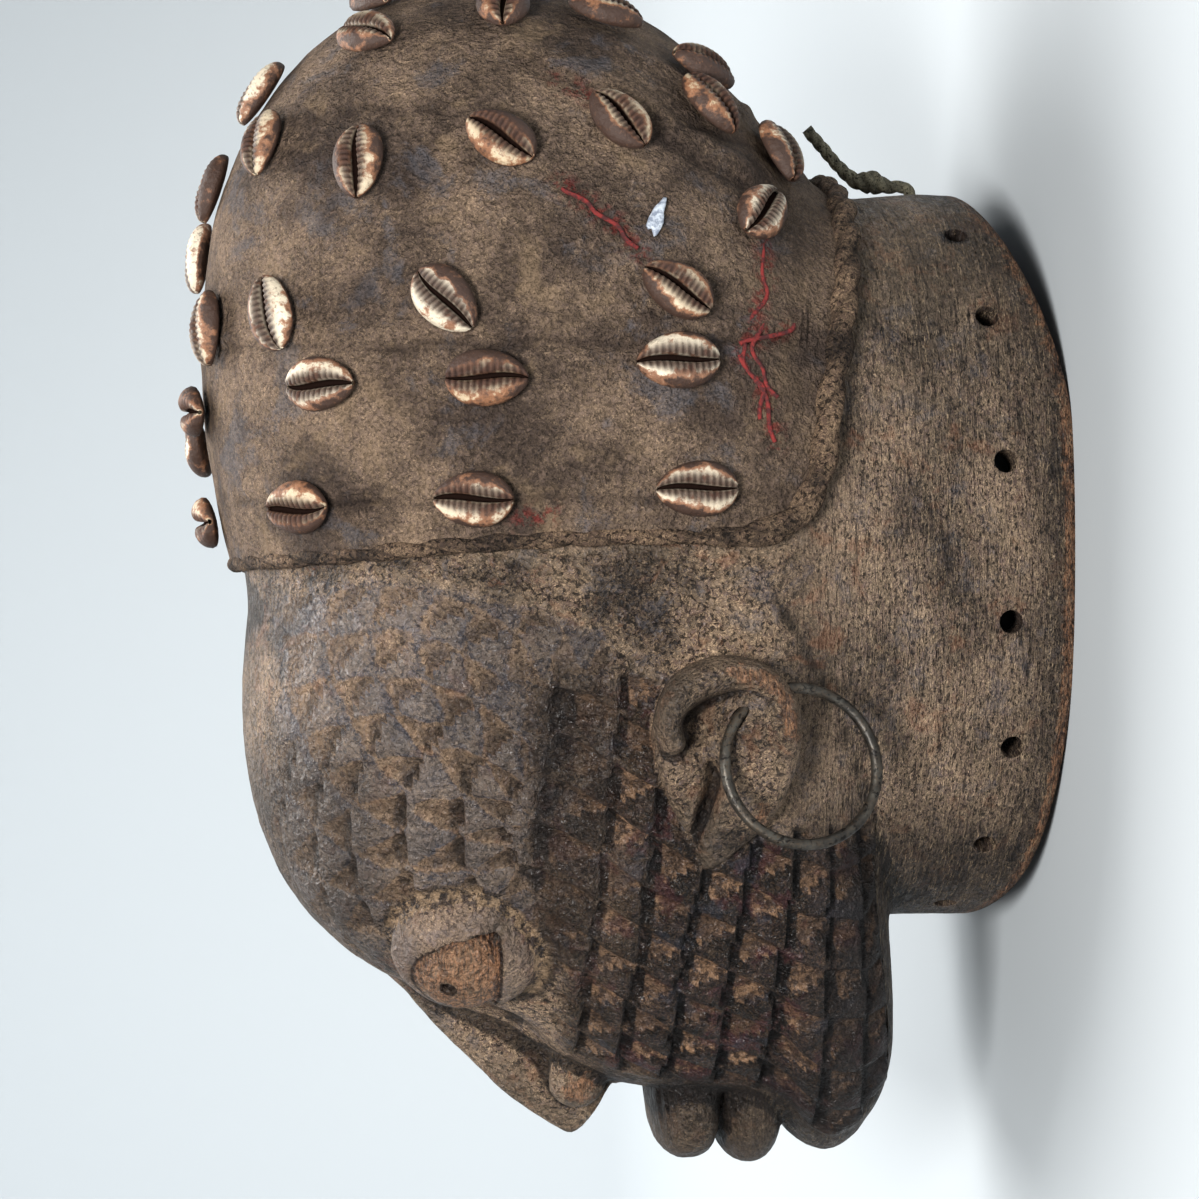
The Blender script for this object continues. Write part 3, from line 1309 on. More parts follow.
def plied_rings(path, radius, plies, pitch, sides, closed, depth, outwards):
    """Rings round a path of radius * (1 - depth * (1 - |sin(plies * (angle - twist) / 2)|^0.7))."""
    if closed:
        along = np.roll(path, -1, axis=0) - np.roll(path, 1, axis=0)
        steps = np.linalg.norm(np.roll(path, -1, axis=0) - path, axis=-1)
        travelled = np.concatenate([[0.0], np.cumsum(steps)[:-1]])
        turns = round(steps.sum() / pitch)
        twist = 2.0 * math.pi * turns * travelled / steps.sum()
    else:
        along = np.gradient(path, axis=0)
        steps = np.linalg.norm(np.diff(path, axis=0), axis=-1)
        travelled = np.concatenate([[0.0], np.cumsum(steps)])
        twist = 2.0 * math.pi * travelled / pitch
    along = along / np.linalg.norm(along, axis=-1, keepdims=True)
    first = outwards - (outwards * along).sum(axis=-1, keepdims=True) * along
    first = first / np.linalg.norm(first, axis=-1, keepdims=True)
    second = np.cross(along, first)
    turn = 2.0 * math.pi * np.arange(sides) / sides
    phase = turn[None, :] - twist[:, None]
    lobe = np.abs(np.sin(plies * phase / 2.0)) ** PLY_SHARPNESS
    r = np.broadcast_to(radius, (len(path),))[:, None] * (1.0 - depth * (1.0 - lobe))
    rings = path[:, None, :] + r[..., None] * (
        np.cos(turn)[None, :, None] * first[:, None, :]
        + np.sin(turn)[None, :, None] * second[:, None, :]
    )
    return rings, lobe, travelled


print("edge cord", 2.0 * EDGE_CORD_RADIUS, "to", 2.0 * EDGE_CORD_LOW_RADIUS, "mm thick")

# %% [markdown]
# The edge cord follows the cap's outline all the way round. It is thicker along the lower
# edge, and crusted, so its section is made uneven by a noise.

# %% Edge cord mesh
cord_steps = 900 // FINE
cord_turns = 2.0 * math.pi * np.arange(cord_steps) / cord_steps
cord_rays = cap_directions(cord_turns, cap_edge_angles(cord_turns, 0.0))
cord_seat = on_surface(face_field, cord_rays)
cord_thick = EDGE_CORD_RADIUS + (EDGE_CORD_LOW_RADIUS - EDGE_CORD_RADIUS) * smoothstep(
    104, 84, cord_seat[:, 2])
cord_path = cord_seat + cord_rays * (cord_thick - 0.2)[:, None]
cord_rings, cord_lobe, _ = plied_rings(
    cord_path, cord_thick * 1.08, 2, PLY_PITCH * 2.0, 20, True, 0.34, cord_rays,
)
uneven = 0.35 * soft_noise(cord_rings, 6.0, 51) + 0.2 * soft_noise(cord_rings, 2.4, 53)
cord_out = cord_rings - cord_path[:, None, :]
cord_out = cord_out / np.linalg.norm(cord_out, axis=-1, keepdims=True)
cord_rings = cord_rings + cord_out * uneven[..., None]
edge_cord = looped_piece("edging_cord", cord_rings)
keep_values(edge_cord, "ply", cord_lobe.ravel())
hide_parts("cap_edge_cord")
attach(edge_cord, "root")
print("edge cord", len(edge_cord.data.vertices), "points")

# %% [markdown]
# Each cowrie lies with its slit outwards, sewn on through its open back. The shell is one
# closed skin: sections along its length, egg-shaped in plan, with a curved slit pressed into
# the top and a row of teeth on both lips of the slit.

# %% Cowries
COWRIES = [
    (0, 97, 0), (-9, 87, 40), (6, 83, -4), (-7, 64, -70), (2, 57, -80), (5, 46, -80),
    (32, 96, 0), (58, 96, -2), (91, 95, 2), (14, 73.5, -80), (29, 72, -64), (37, 80.5, 2),
    (60, 79, 2), (54, 69, -40), (88, 75.5, 4), (88, 65, -30), (20, 53, -68), (39, 54, -72),
    (59, 48, -20), (78, 42, -40), (105, 51, 50), (29, 38.5, -4), (17, 32, -10), (49, 29, -60),
    (71, 23, 8), (98, 34.5, -50), (100, 26, 10), (119, 36, -90),
    (-34, 96, 3), (-60, 95, -5), (-90, 95, 0), (-33, 78, 70), (-58, 78, -4), (-56, 66, 45),
    (-88, 76, 2), (-86, 62, 35), (-24, 55, 60), (-44, 50, 75), (-66, 46, 30), (-90, 42, 50),
    (-108, 52, -45), (-40, 32, 10), (-75, 26, 60), (-112, 32, 20),
]
COWRIE_HALF_LENGTH = 11.3
COWRIE_HALF_WIDTH = 7.6
COWRIE_HEIGHT = 7.6
COWRIE_STATIONS = 56 // FINE
COWRIE_TOP = 30 // FINE
COWRIE_BELLY = 10
TOOTH_PITCH = 1.75


def cowrie_skin(size_share, slit_shift, slit_half, dirty_side):
    """Sections along the length l: a domed top with the slit in it, then a flat belly.

    The top runs across as s from 1 to -1, close-set near the slit, with the height
    0.3 + 0.62 * size * (1 - |s|^2.4)^0.6 less a valley, the slit in it and its teeth.
    """
    t = np.linspace(-1.0, 1.0, COWRIE_STATIONS + 2)[1:-1]
    l = (0.6 * t + 0.4 * np.sin(math.pi * t / 2.0))[:, None]
    s = np.linspace(1.0, -1.0, COWRIE_TOP + 1)[None, :]
    s = np.sign(s) * np.abs(s) ** 1.25
    b = np.linspace(math.pi, 2.0 * math.pi, COWRIE_BELLY + 1)[None, 1:-1]
    size = (1.0 - np.abs(l) ** 2.1) ** 0.58
    wide = size * (1.0 - 0.12 * l)
    dome = 0.3 + 0.62 * size * (1.0 - np.abs(s) ** 2.4) ** 0.6
    middle = 0.1 * np.sin(1.9 * l) + slit_shift
    beside = np.abs(s - middle)
    opening = slit_half * (1.0 + 0.35 * l)
    slit = np.exp(-((beside / opening) ** 4))
    valley = np.exp(-((beside / 0.56) ** 5)) * (1.0 - slit)
    wave = 0.5 + 0.5 * np.cos(2.0 * math.pi * l * COWRIE_HALF_LENGTH / TOOTH_PITCH)
    ends = 0.3 + 0.7 * size
    sink = 0.21 * np.exp(-((beside / 0.38) ** 2)) + 0.3 * slit
    top = dome + (0.08 - sink + 0.09 * valley * (wave - 0.6)) * ends
    belly = 0.3 + 0.3 * np.sin(b) * (0.4 + 0.6 * size)
    across = np.concatenate([wide * s, wide * np.cos(b)], axis=1)
    height = np.concatenate([top, belly], axis=1)
    along = np.broadcast_to(l, across.shape)
    sizes = np.array([COWRIE_HALF_LENGTH, COWRIE_HALF_WIDTH, COWRIE_HEIGHT])
    none = np.zeros(belly.shape)
    values = {
        "slit": np.concatenate([slit, none], axis=1),
        "valley": np.concatenate([valley, none], axis=1),
        "teeth": np.concatenate([valley * (1.0 - wave), none], axis=1),
        "flank": np.concatenate([beside + dirty_side * s, none + 1.0], axis=1),
    }
    return np.stack([along, across, height], axis=-1) * sizes * size_share, values


print("a large shell is", 2.0 * COWRIE_HALF_LENGTH, "mm long")

# %% [markdown]
# Every shell gets its own size, slit and stains from one seeded row of random numbers, and a
# seat on the cap from its two angles. Copies of one mesh would be lighter, but the eye finds
# equal shells at once.

# %% Cowries on the cap
def cowrie_place(around, down, spin):
    """The seat of a shell on the cap, and its axes: long, wide and out."""
    step = math.radians(3.0)
    turns = np.array([around, around, around, around + step, around - step])
    downs = np.array([down, down + step, down - step, down, down])
    seats = on_surface(face_field, cap_directions(turns, downs), CAP_GAP + CAP_THICKNESS + 0.5)
    along, across = seats[1] - seats[2], seats[3] - seats[4]
    out = np.cross(across, along)
    out = out / np.linalg.norm(out)
    out = out * np.sign(out.dot(cap_directions(around, down)))
    across = across / np.linalg.norm(across)
    long = across * math.cos(spin) + np.cross(out, across) * math.sin(spin)
    return seats[0], long, np.cross(out, long), out


shell_dice = np.random.default_rng(7)
shells = []
for number, (around, down, spin) in enumerate(COWRIES, start=1):
    seat, long, wide, out = cowrie_place(*np.radians([around, down, spin]))
    skin, values = cowrie_skin(
        shell_dice.uniform(0.93, 1.0),
        shell_dice.uniform(-0.08, 0.08),
        shell_dice.uniform(0.1, 0.15),
        shell_dice.uniform(-0.4, 0.4),
    )
    if shell_dice.random() < 0.5:
        skin = skin * np.array([-1.0, 1.0, 1.0])
    place = seat + skin @ np.stack([long, wide, out])
    tips = place[0].mean(axis=0), place[-1].mean(axis=0)
    shell = closed_piece(f"shell_{number:02d}", place, *tips)
    for name, numbers in values.items():
        keep_values(shell, name, np.concatenate([numbers.ravel(), [0.0, 0.0]]))
    keep_values(shell, "tone", np.full(numbers.size + 2, shell_dice.random()))
    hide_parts(f"cowrie_{number:02d}")
    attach(shell, "root")
    shells.append(shell)
print("shells", len(shells), "of", len(shells[0].data.vertices), "points")

# %% [markdown]
# A piece of plant-fibre cord is knotted through the hole at the back of the neck, with its
# end cut off short. Its route is the same list of points as the solid's, smoothed, and three
# plies are wound along it.

# %% Tie cord
TIE_PATH = [
    (0, 101, 25.6), (0, 109, 25.8), (0.5, 113, 28), (1, 113.2, 33), (1, 114.4, 38),
    (1, 115, 43), (1.5, 119, 48), (2, 124.5, 53), (2, 129.5, 57.5),
]
TIE_RADII = [1.9, 1.9, 1.9, 2.1, 3.6, 2.4, 1.9, 1.9, 1.8]
TIE_STEPS = 150 // FINE
TIE_PITCH = 11.0

tie_path = np.array(smooth_line(TIE_PATH, TIE_STEPS))
tie_radius = np.array(smooth_line([(radius,) for radius in TIE_RADII], TIE_STEPS))[:, 0]
tie_rings, tie_lobe, tie_along = plied_rings(
    tie_path, tie_radius, 3, TIE_PITCH, 24, False, 0.3, np.array([1.0, 0.0, 0.0]),
)
tie = closed_piece("fibre_tie", tie_rings, tie_path[0], tie_path[-1])
keep_values(tie, "ply", np.concatenate([tie_lobe.ravel(), [0.5, 0.5]]))
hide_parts("tie_cord")
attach(tie, "root")
print("tie", round(float(tie_along[-1]), 1), "mm long")

# %% [markdown]
# A few loose things cling to the cap: red threads, once part of a wrapping, and a pale chip.
# They lie on the cloth, so both are placed by the same two angles as the shells.

# %% Red threads and chip
THREAD_RADIUS = 0.65
THREAD_STEPS = 40
THREAD_WAVE = 0.8
THREADS = [
    [(34, 83), (42, 84.5), (50, 88), (57, 92)], [(40, 87), (47, 86), (53, 90), (60, 91)],
    [(46, 82), (52, 86), (58, 88), (66, 86)], [(64, 90), (72, 85), (80, 84), (91, 85)],
    [(60, 92), (62, 86), (63, 80), (66, 76)], [(85, 119), (91, 125), (96, 131), (101, 138)],
]
CHIP = (93.5, 113.6)
CHIP_HALF_LENGTH = 5.2
CHIP_HALF_WIDTH = 2.0
CHIP_TILT = (0.94, 0.34)


def on_cap(y, z, lift):
    """The point of the cap's left side that has this y and z."""
    low, high = np.full(y.shape, 20.0), np.full(y.shape, 130.0)
    for _ in range(30):
        x = (low + high) / 2.0
        out = face_field(x, y, z) > 0
        high = np.where(out, x, high)
        low = np.where(out, low, x)
    return np.stack([low + CAP_GAP + CAP_THICKNESS + lift, y, z], axis=-1)


thread_rings = []
for number, line in enumerate(THREADS):
    route = np.array(smooth_line(line, THREAD_STEPS))
    wave = THREAD_WAVE * np.sin(np.linspace(0.0, 9.0 + number, THREAD_STEPS))
    path = on_cap(route[:, 0], route[:, 1] + wave, 0.3)
    rings, _, _ = plied_rings(
        path, THREAD_RADIUS, 2, 3.0, 8, False, 0.15, np.array([1.0, 0.0, 0.0]),
    )
    thread = closed_piece(f"red_thread_{number + 1}", rings, path[0], path[-1])
    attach(thread, "root")
    thread_rings.append(thread)

CHIP_SIDES = 18

around = 2.0 * math.pi * np.arange(CHIP_SIDES) / CHIP_SIDES
chip_reach = (1.0 + 0.2 * np.sin(3.0 * around + 1.0) + 0.1 * np.sin(5.0 * around))[None, :]
chip_share = np.array([0.35, 0.7, 0.95, 1.0, 0.9])[:, None]
chip_long = CHIP_HALF_LENGTH * np.cos(around)
chip_wide = CHIP_HALF_WIDTH * np.sin(around)
chip_size = chip_share * chip_reach
chip_y = CHIP[0] + chip_size * (chip_long * CHIP_TILT[0] - chip_wide * CHIP_TILT[1])
chip_z = CHIP[1] - chip_size * (chip_long * CHIP_TILT[1] + chip_wide * CHIP_TILT[0])
chip_lift = np.array([1.5, 1.4, 1.1, 0.6, -0.4])[:, None] * np.ones(chip_reach.shape)
chip_skin = on_cap(chip_y, chip_z, 0.0) + chip_lift[..., None] * np.array([1.0, 0.0, 0.0])
chip_ends = chip_skin[0].mean(axis=0), chip_skin[-1].mean(axis=0)
chip = closed_piece("pale_chip", chip_skin, *chip_ends)
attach(chip, "root")
print("threads", len(thread_rings), "and a chip")

# %% [markdown]
# Materials are small networks of nodes. A few helpers keep them short: one makes a node, one
# mixes two colours by a mask, one reads a noise and one turns a number into a mask. Colours
# are written as they look on a screen, from 0 to 255, and turned into the linear values that
# the shader wants.

# %% Helpers for materials
def screen(red, green, blue):
    """A screen colour from 0 to 255 as linear light, with full alpha."""
    def linear(v):
        v = v / 255.0
        return v / 12.92 if v <= 0.04045 else ((v + 0.055) / 1.055) ** 2.4

    return (linear(red), linear(green), linear(blue), 1.0)


def put(tree, socket, value):
    """Links another node's socket into this one, or sets its plain value."""
    if isinstance(value, bpy.types.NodeSocket):
        tree.links.new(value, socket)
    else:
        socket.default_value = value


def calculate(tree, operation, a, b=0.0):
    """One Math node."""
    node = tree.nodes.new("ShaderNodeMath")
    node.operation = operation
    put(tree, node.inputs[0], a)
    put(tree, node.inputs[1], b)
    return node.outputs[0]


def times(tree, first, *others):
    """The product of masks and numbers."""
    for other in others:
        first = calculate(tree, "MULTIPLY", first, other)
    return first


def blend(tree, factor, a, b):
    """One colour Mix node."""
    node = tree.nodes.new("ShaderNodeMix")
    node.data_type = "RGBA"
    put(tree, node.inputs["Factor"], factor)
    put(tree, node.inputs[6], a)
    put(tree, node.inputs[7], b)
    return node.outputs[2]


def noise(tree, vector, scale, detail=4.0, roughness=0.55, distortion=0.0):
    """One Noise Texture node, read as a number around 0.5."""
    node = tree.nodes.new("ShaderNodeTexNoise")
    put(tree, node.inputs["Vector"], vector)
    put(tree, node.inputs["Scale"], scale)
    node.inputs["Detail"].default_value = detail
    node.inputs["Roughness"].default_value = roughness
    node.inputs["Distortion"].default_value = distortion
    return node.outputs["Fac"]


def mask_between(tree, value, low, high):
    """0 at low and 1 at high, smooth between; low may be the larger one."""
    node = tree.nodes.new("ShaderNodeMapRange")
    node.interpolation_type = "SMOOTHSTEP"
    put(tree, node.inputs["Value"], value)
    put(tree, node.inputs["From Min"], low)
    put(tree, node.inputs["From Max"], high)
    return node.outputs["Result"]


def stretched(tree, vector, scale, turn=(0.0, 0.0, 0.0)):
    """The coordinates turned, with each axis scaled on its own."""
    node = tree.nodes.new("ShaderNodeMapping")
    put(tree, node.inputs["Vector"], vector)
    node.inputs["Scale"].default_value = scale
    node.inputs["Rotation"].default_value = turn
    return node.outputs["Vector"]


def stored(tree, name):
    """A number kept on the piece's points."""
    node = tree.nodes.new("ShaderNodeAttribute")
    node.attribute_name = name
    return node.outputs["Fac"]


def object_place(tree):
    """Object coordinates, in metres."""
    return tree.nodes.new("ShaderNodeTexCoord").outputs["Object"]


def height_in(tree, place):
    """The Z of a place."""
    node = tree.nodes.new("ShaderNodeSeparateXYZ")
    put(tree, node.inputs[0], place)
    return node.outputs["Z"]


def relief_normal(tree, height, strength, distance, before=None):
    """One Bump node, which can follow another."""
    node = tree.nodes.new("ShaderNodeBump")
    node.inputs["Strength"].default_value = strength
    node.inputs["Distance"].default_value = distance
    put(tree, node.inputs["Height"], height)
    if before is not None:
        put(tree, node.inputs["Normal"], before)
    return node.outputs["Normal"]


def new_material(name):
    """A material with its node tree and its Principled shader."""
    material = bpy.data.materials.new(name)
    material.use_nodes = True
    tree = material.node_tree
    return material, tree, tree.nodes["Principled BSDF"]


def new_group(name, inputs, outputs):
    """A node group with named sockets; each socket is a name, a kind and a default."""
    group = bpy.data.node_groups.new(name, "ShaderNodeTree")
    for label, kind, default in inputs:
        socket = group.interface.new_socket(label, in_out="INPUT", socket_type=kind)
        if default is not None:
            socket.default_value = default
    for label, kind in outputs:
        group.interface.new_socket(label, in_out="OUTPUT", socket_type=kind)
    entry = group.nodes.new("NodeGroupInput")
    leave = group.nodes.new("NodeGroupOutput")
    return group, entry.outputs, leave.inputs


def use_group(tree, group, **values):
    """Places a group in a material; underscores in the names stand for spaces."""
    node = tree.nodes.new("ShaderNodeGroup")
    node.node_tree = group
    for name, value in values.items():
        put(tree, node.inputs[name.replace("_", " ")], value)
    return node.outputs


def dress(piece, material):
    """Gives a piece its one material."""
    piece.data.materials.clear()
    piece.data.materials.append(material)


print("middle grey in linear light", [round(part, 3) for part in screen(128, 128, 128)])

# %% [markdown]
# Almost every surface of the mask has the same crust of smoke, oil and dust. It is a broken
# skin: dark where it stands, with thin pale filaments of dust caught on it and black pits
# between them. One group makes its colour and its height from the same noises, so the pits
# are dark and low at once.

# %% Shared effects
COLOR = "NodeSocketColor"
FLOAT = "NodeSocketFloat"
VECTOR = "NodeSocketVector"

crust, given, result = new_group(
    "crust",
    [
        ("Place", VECTOR, None), ("Dark", COLOR, screen(50, 42, 36)),
        ("Middle", COLOR, screen(88, 72, 58)), ("Dust", COLOR, screen(150, 122, 88)),
        ("Cloud Scale", FLOAT, 40.0), ("Grain Scale", FLOAT, 330.0),
        ("Dust Level", FLOAT, 0.5), ("Pit Level", FLOAT, 0.85),
    ],
    [("Color", COLOR), ("Height", FLOAT)],
)
cloud = noise(crust, given["Place"], given["Cloud Scale"], 5.0, 0.62)
lump_scale = calculate(crust, "MULTIPLY", given["Grain Scale"], 0.5)
lumps = noise(crust, given["Place"], lump_scale, 2.0, 0.6, 0.4)
threads = noise(crust, given["Place"], given["Grain Scale"], 3.0, 0.62, 1.3)
from_line = calculate(crust, "ABSOLUTE", calculate(crust, "SUBTRACT", threads, 0.5))
filament = mask_between(crust, from_line, 0.055, 0.01)
pit_scale = calculate(crust, "MULTIPLY", given["Grain Scale"], 1.25)
pit_noise = noise(crust, given["Place"], pit_scale, 2.5, 0.62, 0.6)
pits = mask_between(crust, pit_noise, 0.47, 0.36)
height = calculate(crust, "ADD", times(crust, lumps, 0.8), times(crust, filament, 0.05))
height = calculate(crust, "SUBTRACT", height, times(crust, pits, 0.14))
tone = calculate(crust, "ADD", times(crust, lumps, 0.45), times(crust, cloud, 0.55))
ground = blend(crust, mask_between(crust, tone, 0.42, 0.6), given["Dark"], given["Middle"])
level = calculate(crust, "ADD", cloud, times(crust, given["Dust Level"], 0.4))
share = mask_between(crust, level, 0.5, 0.85)
veil = times(crust, mask_between(crust, lumps, 0.56, 0.44), share, 0.3)
ground = blend(crust, veil, ground, given["Dust"])
caught = times(crust, filament, calculate(crust, "ADD", times(crust, share, 0.8), 0.15))
ground = blend(crust, caught, ground, given["Dust"])
dark_pits = times(crust, pits, given["Pit Level"])
put(crust, result["Color"], blend(crust, dark_pits, ground, screen(14, 11, 10)))
put(crust, result["Height"], height)
print("crust", len(crust.nodes), "nodes")

# %% [markdown]
# The second group lays large cool and warm patches over a colour, because handling and smoke
# never colour old wood evenly. The third is wear, which bares the lighter stuff below in a
# ragged line.

# %% Patches and wear
patches, given, result = new_group(
    "patches",
    [
        ("Place", VECTOR, None), ("Color", COLOR, screen(90, 80, 72)),
        ("Cool", COLOR, screen(84, 84, 92)), ("Warm", COLOR, screen(132, 88, 62)),
        ("Scale", FLOAT, 80.0), ("Strength", FLOAT, 0.35),
    ],
    [("Color", COLOR)],
)
where = noise(patches, given["Place"], given["Scale"], 5.0, 0.7, 0.4)
cool = times(patches, mask_between(patches, where, 0.53, 0.64), given["Strength"])
warm = times(patches, mask_between(patches, where, 0.45, 0.35), given["Strength"])
mixed = blend(patches, cool, given["Color"], given["Cool"])
put(patches, result["Color"], blend(patches, warm, mixed, given["Warm"]))

wear, given, result = new_group(
    "wear",
    [
        ("Place", VECTOR, None), ("Stands Out", FLOAT, 0.0), ("From", FLOAT, 0.1),
        ("To", FLOAT, 0.4), ("Ragged", FLOAT, 0.3), ("Scale", FLOAT, 220.0),
    ],
    [("Mask", FLOAT)],
)
ragged = calculate(wear, "SUBTRACT", noise(wear, given["Place"], given["Scale"], 5.0, 0.65), 0.5)
amount = calculate(wear, "ADD", given["Stands Out"], times(wear, ragged, given["Ragged"], 2.0))
put(wear, result["Mask"], mask_between(wear, amount, given["From"], given["To"]))
print("groups", [group.name for group in bpy.data.node_groups])

# %% [markdown]
# The wood carries a dark crust, and round the neck its grain runs level. The crust is placed
# three times with its own colours: for the head, for the neck, and much darker for the cheeks.

# %% Carved wood
wood, tree, shader = new_material("carved wood")
place = object_place(tree)
carving = stored(tree, "carving")
cheek = stored(tree, "cheek")
temple = stored(tree, "temple")
edge_fine = stored(tree, "edge_fine")
height_up = height_in(tree, place)

surface = use_group(
    tree, crust, Place=place, Dark=screen(36, 30, 28), Middle=screen(96, 78, 68),
    Dust=screen(186, 158, 128), Cloud_Scale=38.0, Grain_Scale=620.0, Dust_Level=0.45,
)
on_neck = times(tree, mask_between(tree, height_up, 0.09, 0.055),
                calculate(tree, "SUBTRACT", 1.0, cheek))
level_grain = use_group(
    tree, crust, Place=stretched(tree, place, (0.62, 0.62, 1.15), (0.06, 0.0, 0.0)),
    Dark=screen(44, 37, 34), Middle=screen(102, 84, 75), Dust=screen(186, 160, 132),
    Cloud_Scale=38.0, Grain_Scale=900.0, Dust_Level=0.42,
)
cheek_surface = use_group(
    tree, crust, Place=place, Dark=screen(17, 14, 15), Middle=screen(42, 34, 35),
    Dust=screen(142, 112, 84), Cloud_Scale=70.0, Grain_Scale=520.0, Dust_Level=-0.1,
)
colour = blend(tree, on_neck, surface["Color"], level_grain["Color"])
colour = use_group(tree, patches, Place=place, Color=colour)["Color"]
print("wood", len(tree.nodes), "nodes")

# %% [markdown]
# The temple's plates are worn blue-grey. The sunk chips of the carving keep pale tan dust, and
# it lies in ragged patches, not in whole triangles.

# %% Temple
plate = use_group(tree, wear, Place=place, Stands_Out=carving, From=-0.12, To=0.08,
                  Ragged=0.5, Scale=260.0)["Mask"]
temple_low = blend(tree, 0.25, colour, screen(146, 120, 100))
temple_plate = blend(tree, 0.5, colour, screen(86, 85, 92))
temple_colour = blend(tree, plate, temple_low, temple_plate)
chip_dust = mask_between(tree, stored(tree, "chip"), 0.3, 0.6)
dust_patch = mask_between(tree, noise(tree, place, 330.0, 5.0, 0.75), 0.45, 0.56)
temple_colour = blend(tree, times(tree, chip_dust, dust_patch, 0.42), temple_colour,
                      screen(152, 124, 98))
colour = blend(tree, temple, colour, temple_colour)
print("with the temple", len(tree.nodes), "nodes")

# %% [markdown]
# The raised scales of the cheeks are nearly black with traces of dark red and indigo paint,
# and the undercut below each row is black. Near the temple the dark thins out.

# %% Cheeks
dusty_place = mask_between(tree, noise(tree, place, 55.0, 3.0, 0.6), 0.42, 0.58)
dust_share = times(tree, dust_patch, calculate(tree, "ADD", times(tree, dusty_place, 0.42), 0.14))
cheek_low = blend(tree, 0.3, cheek_surface["Color"], screen(104, 82, 68))
cheek_low = blend(tree, dust_share, cheek_low, screen(164, 128, 98))
cheek_colour = blend(tree, chip_dust, cheek_surface["Color"], cheek_low)
paint_patch = mask_between(tree, noise(tree, place, 75.0, 4.0, 0.65), 0.53, 0.62)
cheek_colour = blend(tree, times(tree, paint_patch, 0.45), cheek_colour, screen(68, 32, 38))
indigo_patch = mask_between(tree, noise(tree, place, 62.0, 4.0, 0.65), 0.46, 0.38)
cheek_colour = blend(tree, times(tree, indigo_patch, 0.5), cheek_colour, screen(44, 48, 58))
below_temple = mask_between(tree, height_up, 0.136, 0.108)
fading = calculate(tree, "ADD", 0.72, times(tree, below_temple, 0.28))
colour = blend(tree, times(tree, cheek, fading), colour, cheek_colour)
under_base = mask_between(tree, stored(tree, "under_base"), 0.25, 0.7)
broken = mask_between(tree, noise(tree, place, 180.0, 4.0, 0.7), 0.38, 0.52)
colour = blend(tree, times(tree, under_base, broken, fading, 0.9), colour, screen(13, 10, 9))
print("with the cheeks", len(tree.nodes), "nodes")

# %% [markdown]
# Handling lightens the edges and leaves the hollows dark. Smoke has blackened the jaw, the lips
# and the rim, and eyeballs, the wings of the nose and the ears' rims are rubbed to an
# orange-brown with fine striations.

# %% Worn, sooty and rubbed wood
worn_edges = use_group(tree, wear, Place=place, Stands_Out=edge_fine, From=0.12, To=0.4,
                       Ragged=0.5, Scale=420.0)["Mask"]
worn_share = calculate(tree, "SUBTRACT", 0.18, times(tree, cheek, 0.165))
colour = blend(tree, times(tree, worn_edges, worn_share), colour, screen(160, 140, 118))
deep = mask_between(tree, edge_fine, -0.06, -0.34)
patterned = calculate(tree, "ADD", cheek, times(tree, temple, 0.6))
deep_share = calculate(tree, "SUBTRACT", 0.8, times(tree, patterned, 0.65))
colour = blend(tree, times(tree, deep, deep_share), colour, screen(18, 14, 13))
colour = blend(tree, times(tree, stored(tree, "soot"), 0.72), colour, screen(30, 26, 25))
colour = blend(tree, times(tree, stored(tree, "lid"), 0.2), colour, screen(146, 124, 118))
lid_foot = times(tree, mask_between(tree, edge_fine, -0.08, -0.3), stored(tree, "by_lid"),
                 dust_patch, 0.6)
colour = blend(tree, lid_foot, colour, screen(168, 140, 110))
rubbed = use_group(tree, wear, Place=place, Stands_Out=stored(tree, "rubbed"), From=0.4,
                   To=0.8, Ragged=1.1, Scale=300.0)["Mask"]
along_grain = stretched(tree, place, (230.0, 230.0, 760.0), (0.5, 0.0, 0.0))
striations = noise(tree, along_grain, 1.0, 4.0, 0.7, 1.6)
bare = blend(tree, mask_between(tree, striations, 0.4, 0.6), screen(60, 38, 29),
             screen(160, 114, 82))
colour = blend(tree, times(tree, rubbed, 0.6), colour, bare)
lid_edge = calculate(tree, "ABSOLUTE", stored(tree, "lid_edge"))
colour = blend(tree, times(tree, mask_between(tree, lid_edge, 0.75, 0.2), 0.8), colour,
               screen(30, 20, 17))
colour = blend(tree, stored(tree, "cavity"), colour, screen(72, 52, 38))
print("with wear and soot", len(tree.nodes), "nodes")

# %% [markdown]
# Short tool marks run level round the neck, some dark and some with dust in them. They and the
# crust also go into the bumps, and the cheeks are a little glossier than the rest.

# %% Tool marks and finish of the wood
along_neck = stretched(tree, place, (90.0, 90.0, 900.0), (0.09, 0.0, 0.0))
scratches = noise(tree, along_neck, 1.0, 3.0, 0.6, 0.5)
scratch_dark = times(tree, mask_between(tree, scratches, 0.4, 0.34), on_neck, 0.7)
colour = blend(tree, scratch_dark, colour, screen(26, 21, 19))
from_line = calculate(tree, "ABSOLUTE", calculate(tree, "SUBTRACT", scratches, 0.56))
scratch_light = times(tree, mask_between(tree, from_line, 0.016, 0.004), on_neck, 0.5)
colour = blend(tree, scratch_light, colour, screen(182, 158, 128))
height = calculate(tree, "ADD", surface["Height"], times(
    tree, on_neck, calculate(tree, "SUBTRACT", level_grain["Height"], surface["Height"])))
normal = relief_normal(tree, height, 1.0, 0.004)
normal = relief_normal(tree, times(tree, scratches, on_neck), 1.0, 0.002, normal)
put(tree, shader.inputs["Base Color"], colour)
put(tree, shader.inputs["Normal"], normal)
gloss = mask_between(tree, height, 0.36, 0.5)
gloss = calculate(tree, "ADD", times(tree, gloss, 0.16), times(tree, temple, plate, 0.12))
